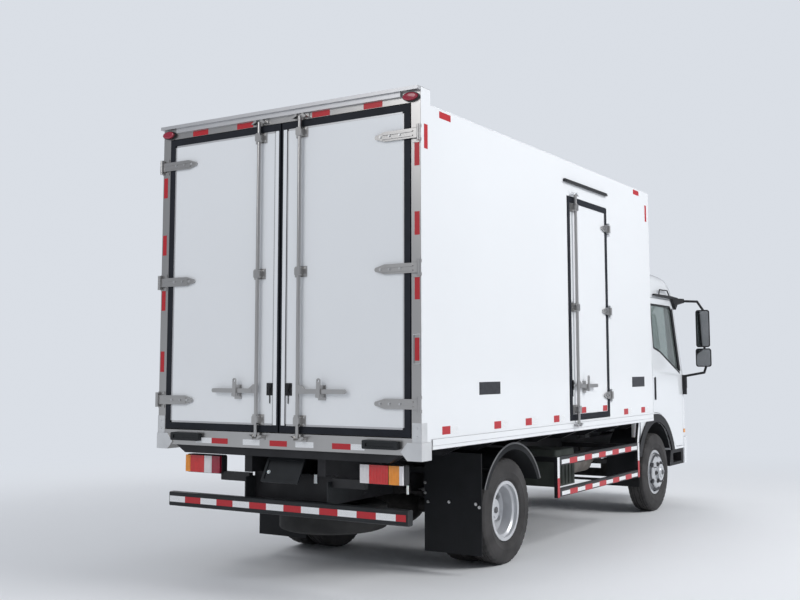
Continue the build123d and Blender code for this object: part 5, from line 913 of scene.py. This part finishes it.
slab(shape, (F + 1.0895, -0.222, 0.567), (F + 1.0915, 0.222, 0.683), 1)
slab(shape, (F + 1.0910, -0.215, 0.574), (F + 1.0922, 0.215, 0.676), 0)
for y in (-0.17, 0.17):
    rivet(shape, (F + 1.0922, y, 0.655), (1, 0, 0), 0.007)
piece("front_plate", shape, [BLANK_PLATE, FINISHES["trim_black"]], "chassis")
shape = bmesh.new()
# Dark sheet at the back of the bumper slot: painted shade for the depth of the opening; the three bars in front are
# the grille
plate(shape, rounded((0, 0.500), 0.756, 0.086, 0.018), 0, F + 1.0645, F + 1.0675)
for z in (0.481, 0.500, 0.519):
    slab(shape, (F + 1.0670, -0.372, z - 0.003), (F + 1.0760, 0.372, z + 0.003))
piece("bumper_slot_grille_and_shade", shape, FINISHES["trim_black"], "chassis")

# Cooling unit: fan blades and wire guards in the two recesses

FAN_CENTRES = (-0.410, 0.410)
FAN_Z = 2.760
BLADE_THICKNESS = 0.003
BOX_FRONT_X = F - 0.608


def unit_face(z):
    """X of the cooling unit's leaning face at a height."""
    return BOX_FRONT_X + 0.430 - 0.1463 * (z - 2.570)


guards = bmesh.new()
blades = bmesh.new()
for middle in FAN_CENTRES:
    for radius in (0.075, 0.100, 0.125, 0.150, 0.175, 0.192):
        ring = []
        for step in range(32):
            angle = 2 * pi * step / 32
            z = FAN_Z + radius * sin(angle)
            ring.append((unit_face(z) + 0.002, middle + radius * cos(angle), z))
        for start, end in zip(ring, ring[1:] + ring[:1]):
            bar(guards, start, end, 0.0022, 6)
    for step in range(8):
        angle = 2 * pi * (step + 0.5) / 8
        ends = []
        for radius in (0.055, 0.194):
            z = FAN_Z + radius * sin(angle)
            ends.append((unit_face(z) + 0.002, middle + radius * cos(angle), z))
        bar(guards, ends[0], ends[1], 0.003, 6)
    blade_x = BOX_FRONT_X + 0.364
    for step in range(7):
        angle = 2 * pi * step / 7
        loops = []
        for radius, spread, twist in ((0.060, 0.30, 0.016), (0.180, 0.24, 0.008)):
            loop = []
            corners = (
                (-spread, -twist), (spread, twist), (spread, twist + BLADE_THICKNESS),
                (-spread, -twist + BLADE_THICKNESS),
            )
            for turn, lift in corners:
                across, above = radius * cos(angle + turn), radius * sin(angle + turn)
                loop.append((blade_x + lift, middle + across, FAN_Z + above))
            loops.append(loop)
        stack(blades, loops)
piece("fan_guards", guards, FINISHES["trim_black"], "chassis", smooth=35)
piece("fan_blades", blades, FINISHES["trim_black"], "chassis")

# Seats: each cushion and back is a stuffed shape with sewn channels


def stuffed(name, low, high, crown, channels, body, lean=0.0):
    """Crowned cushion between two corners with sewn channels across its width."""
    low, high = Vector(low), Vector(high)
    size = high - low
    shape = bmesh.new()
    bmesh.ops.create_cube(shape, size=1)
    bmesh.ops.subdivide_edges(shape, edges=shape.edges, cuts=31, use_grid_fill=True)
    for vert in shape.verts:
        u, v, w = (2 * c for c in vert.co)
        pull = 1 - 0.10 * (abs(u) ** 6 + abs(v) ** 6 + abs(w) ** 6) / 3
        roundness = 1 - crown * 0.5 * (v * v * w * w + u * u * w * w + u * u * v * v)
        groove = 0.0
        for channel in channels:
            groove += 0.012 * max(0.0, 1 - abs(v - channel) / 0.035)
        place = Vector((u * size.x, v * size.y, w * size.z)) / 2 * pull * roundness
        if size.z < size.x:
            place.z -= groove if w > 0.9 else 0.0
        else:
            place.x -= groove if u > 0.9 else 0.0
        vert.co = (low + high) / 2 + place + Vector((lean * place.z, 0, 0))
    made = piece(name, shape, FINISHES["seat_cloth"], body, smooth=60)
    return made


SEAT_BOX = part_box("seats")
SEAT_BASE = SEAT_BOX[0].z
SEAT_CROWN = 0.35
SEAT_CHANNELS = (-0.45, 0.0, 0.45)
seat_pieces = []
for label, middle, width in (("driver", 0.43, 0.5), ("passenger", -0.33, 0.86)):
    y0, y1 = middle - width / 2, middle + width / 2
    low, high = (SEAT_BOX[0].x + 0.1, y0, SEAT_BASE), (SEAT_BOX[1].x, y1, SEAT_BASE + 0.145)
    seat_pieces.append(stuffed("seat_cushion_" + label, low, high, SEAT_CROWN, SEAT_CHANNELS, "chassis"))
    low, high = (SEAT_BOX[0].x + 0.01, y0, SEAT_BASE + 0.1), (SEAT_BOX[0].x + 0.125, y1, SEAT_BOX[1].z)
    seat_pieces.append(stuffed("seat_back_" + label, low, high, SEAT_CROWN, SEAT_CHANNELS, "chassis", lean=-0.02))
for one in seat_pieces:
    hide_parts("seats")

# Stage, light and camera

BACKGROUND = (0.70, 0.735, 0.79)


def fading_floor():
    """Pale floor that turns into the background's colour with distance, so that no horizon shows."""
    made = finish("floor_pale", (0.80, 0.81, 0.825), 0.75, mottle=(0.4, 0.008), grain=(30, 0.05))
    tree = made.node_tree
    surface = tree.nodes["Principled BSDF"]
    where = tree.nodes["Texture Coordinate"]
    distance = tree.nodes.new("ShaderNodeVectorMath")
    distance.operation = "LENGTH"
    tree.links.new(where.outputs["Object"], distance.inputs[0])
    fade = tree.nodes.new("ShaderNodeMapRange")
    fade.interpolation_type = "SMOOTHSTEP"
    fade.inputs["From Min"].default_value = 3.0
    fade.inputs["From Max"].default_value = 9.5
    tree.links.new(distance.outputs["Value"], fade.inputs["Value"])
    glow = tree.nodes.new("ShaderNodeEmission")
    glow.inputs["Color"].default_value = (*BACKGROUND, 1)
    mix = tree.nodes.new("ShaderNodeMixShader")
    tree.links.new(fade.outputs["Result"], mix.inputs["Fac"])
    tree.links.new(surface.outputs["BSDF"], mix.inputs[1])
    tree.links.new(glow.outputs["Emission"], mix.inputs[2])
    tree.links.new(mix.outputs["Shader"], tree.nodes["Material Output"].inputs["Surface"])
    return made


def backdrop():
    """Plain round floor under the truck."""
    shape = bmesh.new()
    reach = 90
    corners = [(-reach, -reach), (reach, -reach), (reach, reach), (-reach, reach)]
    shape.faces.new([shape.verts.new((x, y, 0)) for x, y in corners])
    mesh = bpy.data.meshes.new("floor")
    shape.to_mesh(mesh)
    shape.free()
    made = bpy.data.objects.new("floor", mesh)
    bpy.context.scene.collection.objects.link(made)
    mesh.materials.append(fading_floor())


backdrop()

world = bpy.data.worlds.new("studio")
bpy.context.scene.world = world
world.use_nodes = True
tree = world.node_tree
ambient = tree.nodes["Background"]
ambient.inputs["Color"].default_value = (0.86, 0.91, 1.0, 1)
ambient.inputs["Strength"].default_value = 0.42
seen = tree.nodes.new("ShaderNodeBackground")
seen.inputs["Color"].default_value = (*BACKGROUND, 1)
seen.inputs["Strength"].default_value = 1.0
rays = tree.nodes.new("ShaderNodeLightPath")
direct = tree.nodes.new("ShaderNodeMath")
direct.operation = "MAXIMUM"
mix = tree.nodes.new("ShaderNodeMixShader")
tree.links.new(rays.outputs["Is Camera Ray"], direct.inputs[0])
tree.links.new(rays.outputs["Is Transmission Ray"], direct.inputs[1])
tree.links.new(direct.outputs["Value"], mix.inputs["Fac"])
tree.links.new(ambient.outputs["Background"], mix.inputs[1])
tree.links.new(seen.outputs["Background"], mix.inputs[2])
tree.links.new(mix.outputs["Shader"], tree.nodes["World Output"].inputs["Surface"])


def area_light(name, place, target, size, power):
    light = bpy.data.lights.new(name, "AREA")
    light.shape = "DISK"
    light.size = size
    light.energy = power
    made = bpy.data.objects.new(name, light)
    made.location = place
    made.rotation_euler = (Vector(target) - Vector(place)).to_track_quat("-Z", "Y").to_euler()
    bpy.context.scene.collection.objects.link(made)


TRUCK_MIDDLE = (0, 0, 1.5)
area_light("key_light", (1.0, -11.0, 9.0), TRUCK_MIDDLE, 6, 1160)
area_light("rear_light", (-12.0, 2.0, 7.0), TRUCK_MIDDLE, 6, 295)
area_light("left_light", (2.0, 11.0, 7.0), TRUCK_MIDDLE, 6, 260)
area_light("front_light", (11.0, 6.0, 7.0), TRUCK_MIDDLE, 6, 300)

# The photograph's camera, fitted to the truck's corners; its principal point is in photo pixels
CAMERA_PLACE = (REAR_AXLE_X - 7.0986, -4.5782, 1.4555)
CAMERA_YAW = 31.6
CAMERA_PITCH = 5.556
CAMERA_ROLL = -0.1536
FOCAL_PIXELS = 1047.2
PRINCIPAL = (421.8, 265.2)
PHOTO = (800, 600)
SENSOR = 36.0

camera_data = bpy.data.cameras.new("photo_camera")
camera_data.sensor_width = SENSOR
camera_data.lens = FOCAL_PIXELS / PHOTO[0] * SENSOR
camera_data.shift_x = (PHOTO[0] / 2 - PRINCIPAL[0]) / PHOTO[0]
camera_data.shift_y = (PRINCIPAL[1] - PHOTO[1] / 2) / PHOTO[0]
camera = bpy.data.objects.new("photo_camera", camera_data)
bpy.context.scene.collection.objects.link(camera)
yaw, pitch, roll = (radians(angle) for angle in (CAMERA_YAW, CAMERA_PITCH, CAMERA_ROLL))
forward = Vector((cos(pitch) * cos(yaw), cos(pitch) * sin(yaw), sin(pitch)))
level_right = Vector((sin(yaw), -cos(yaw), 0))
level_up = level_right.cross(forward)
right = cos(roll) * level_right + sin(roll) * level_up
up = right.cross(forward)
camera.matrix_world = Matrix((
    (right.x, up.x, -forward.x, CAMERA_PLACE[0]),
    (right.y, up.y, -forward.y, CAMERA_PLACE[1]),
    (right.z, up.z, -forward.z, CAMERA_PLACE[2]),
    (0, 0, 0, 1),
))
bpy.context.scene.camera = camera
bpy.context.scene.view_settings.view_transform = "Standard"
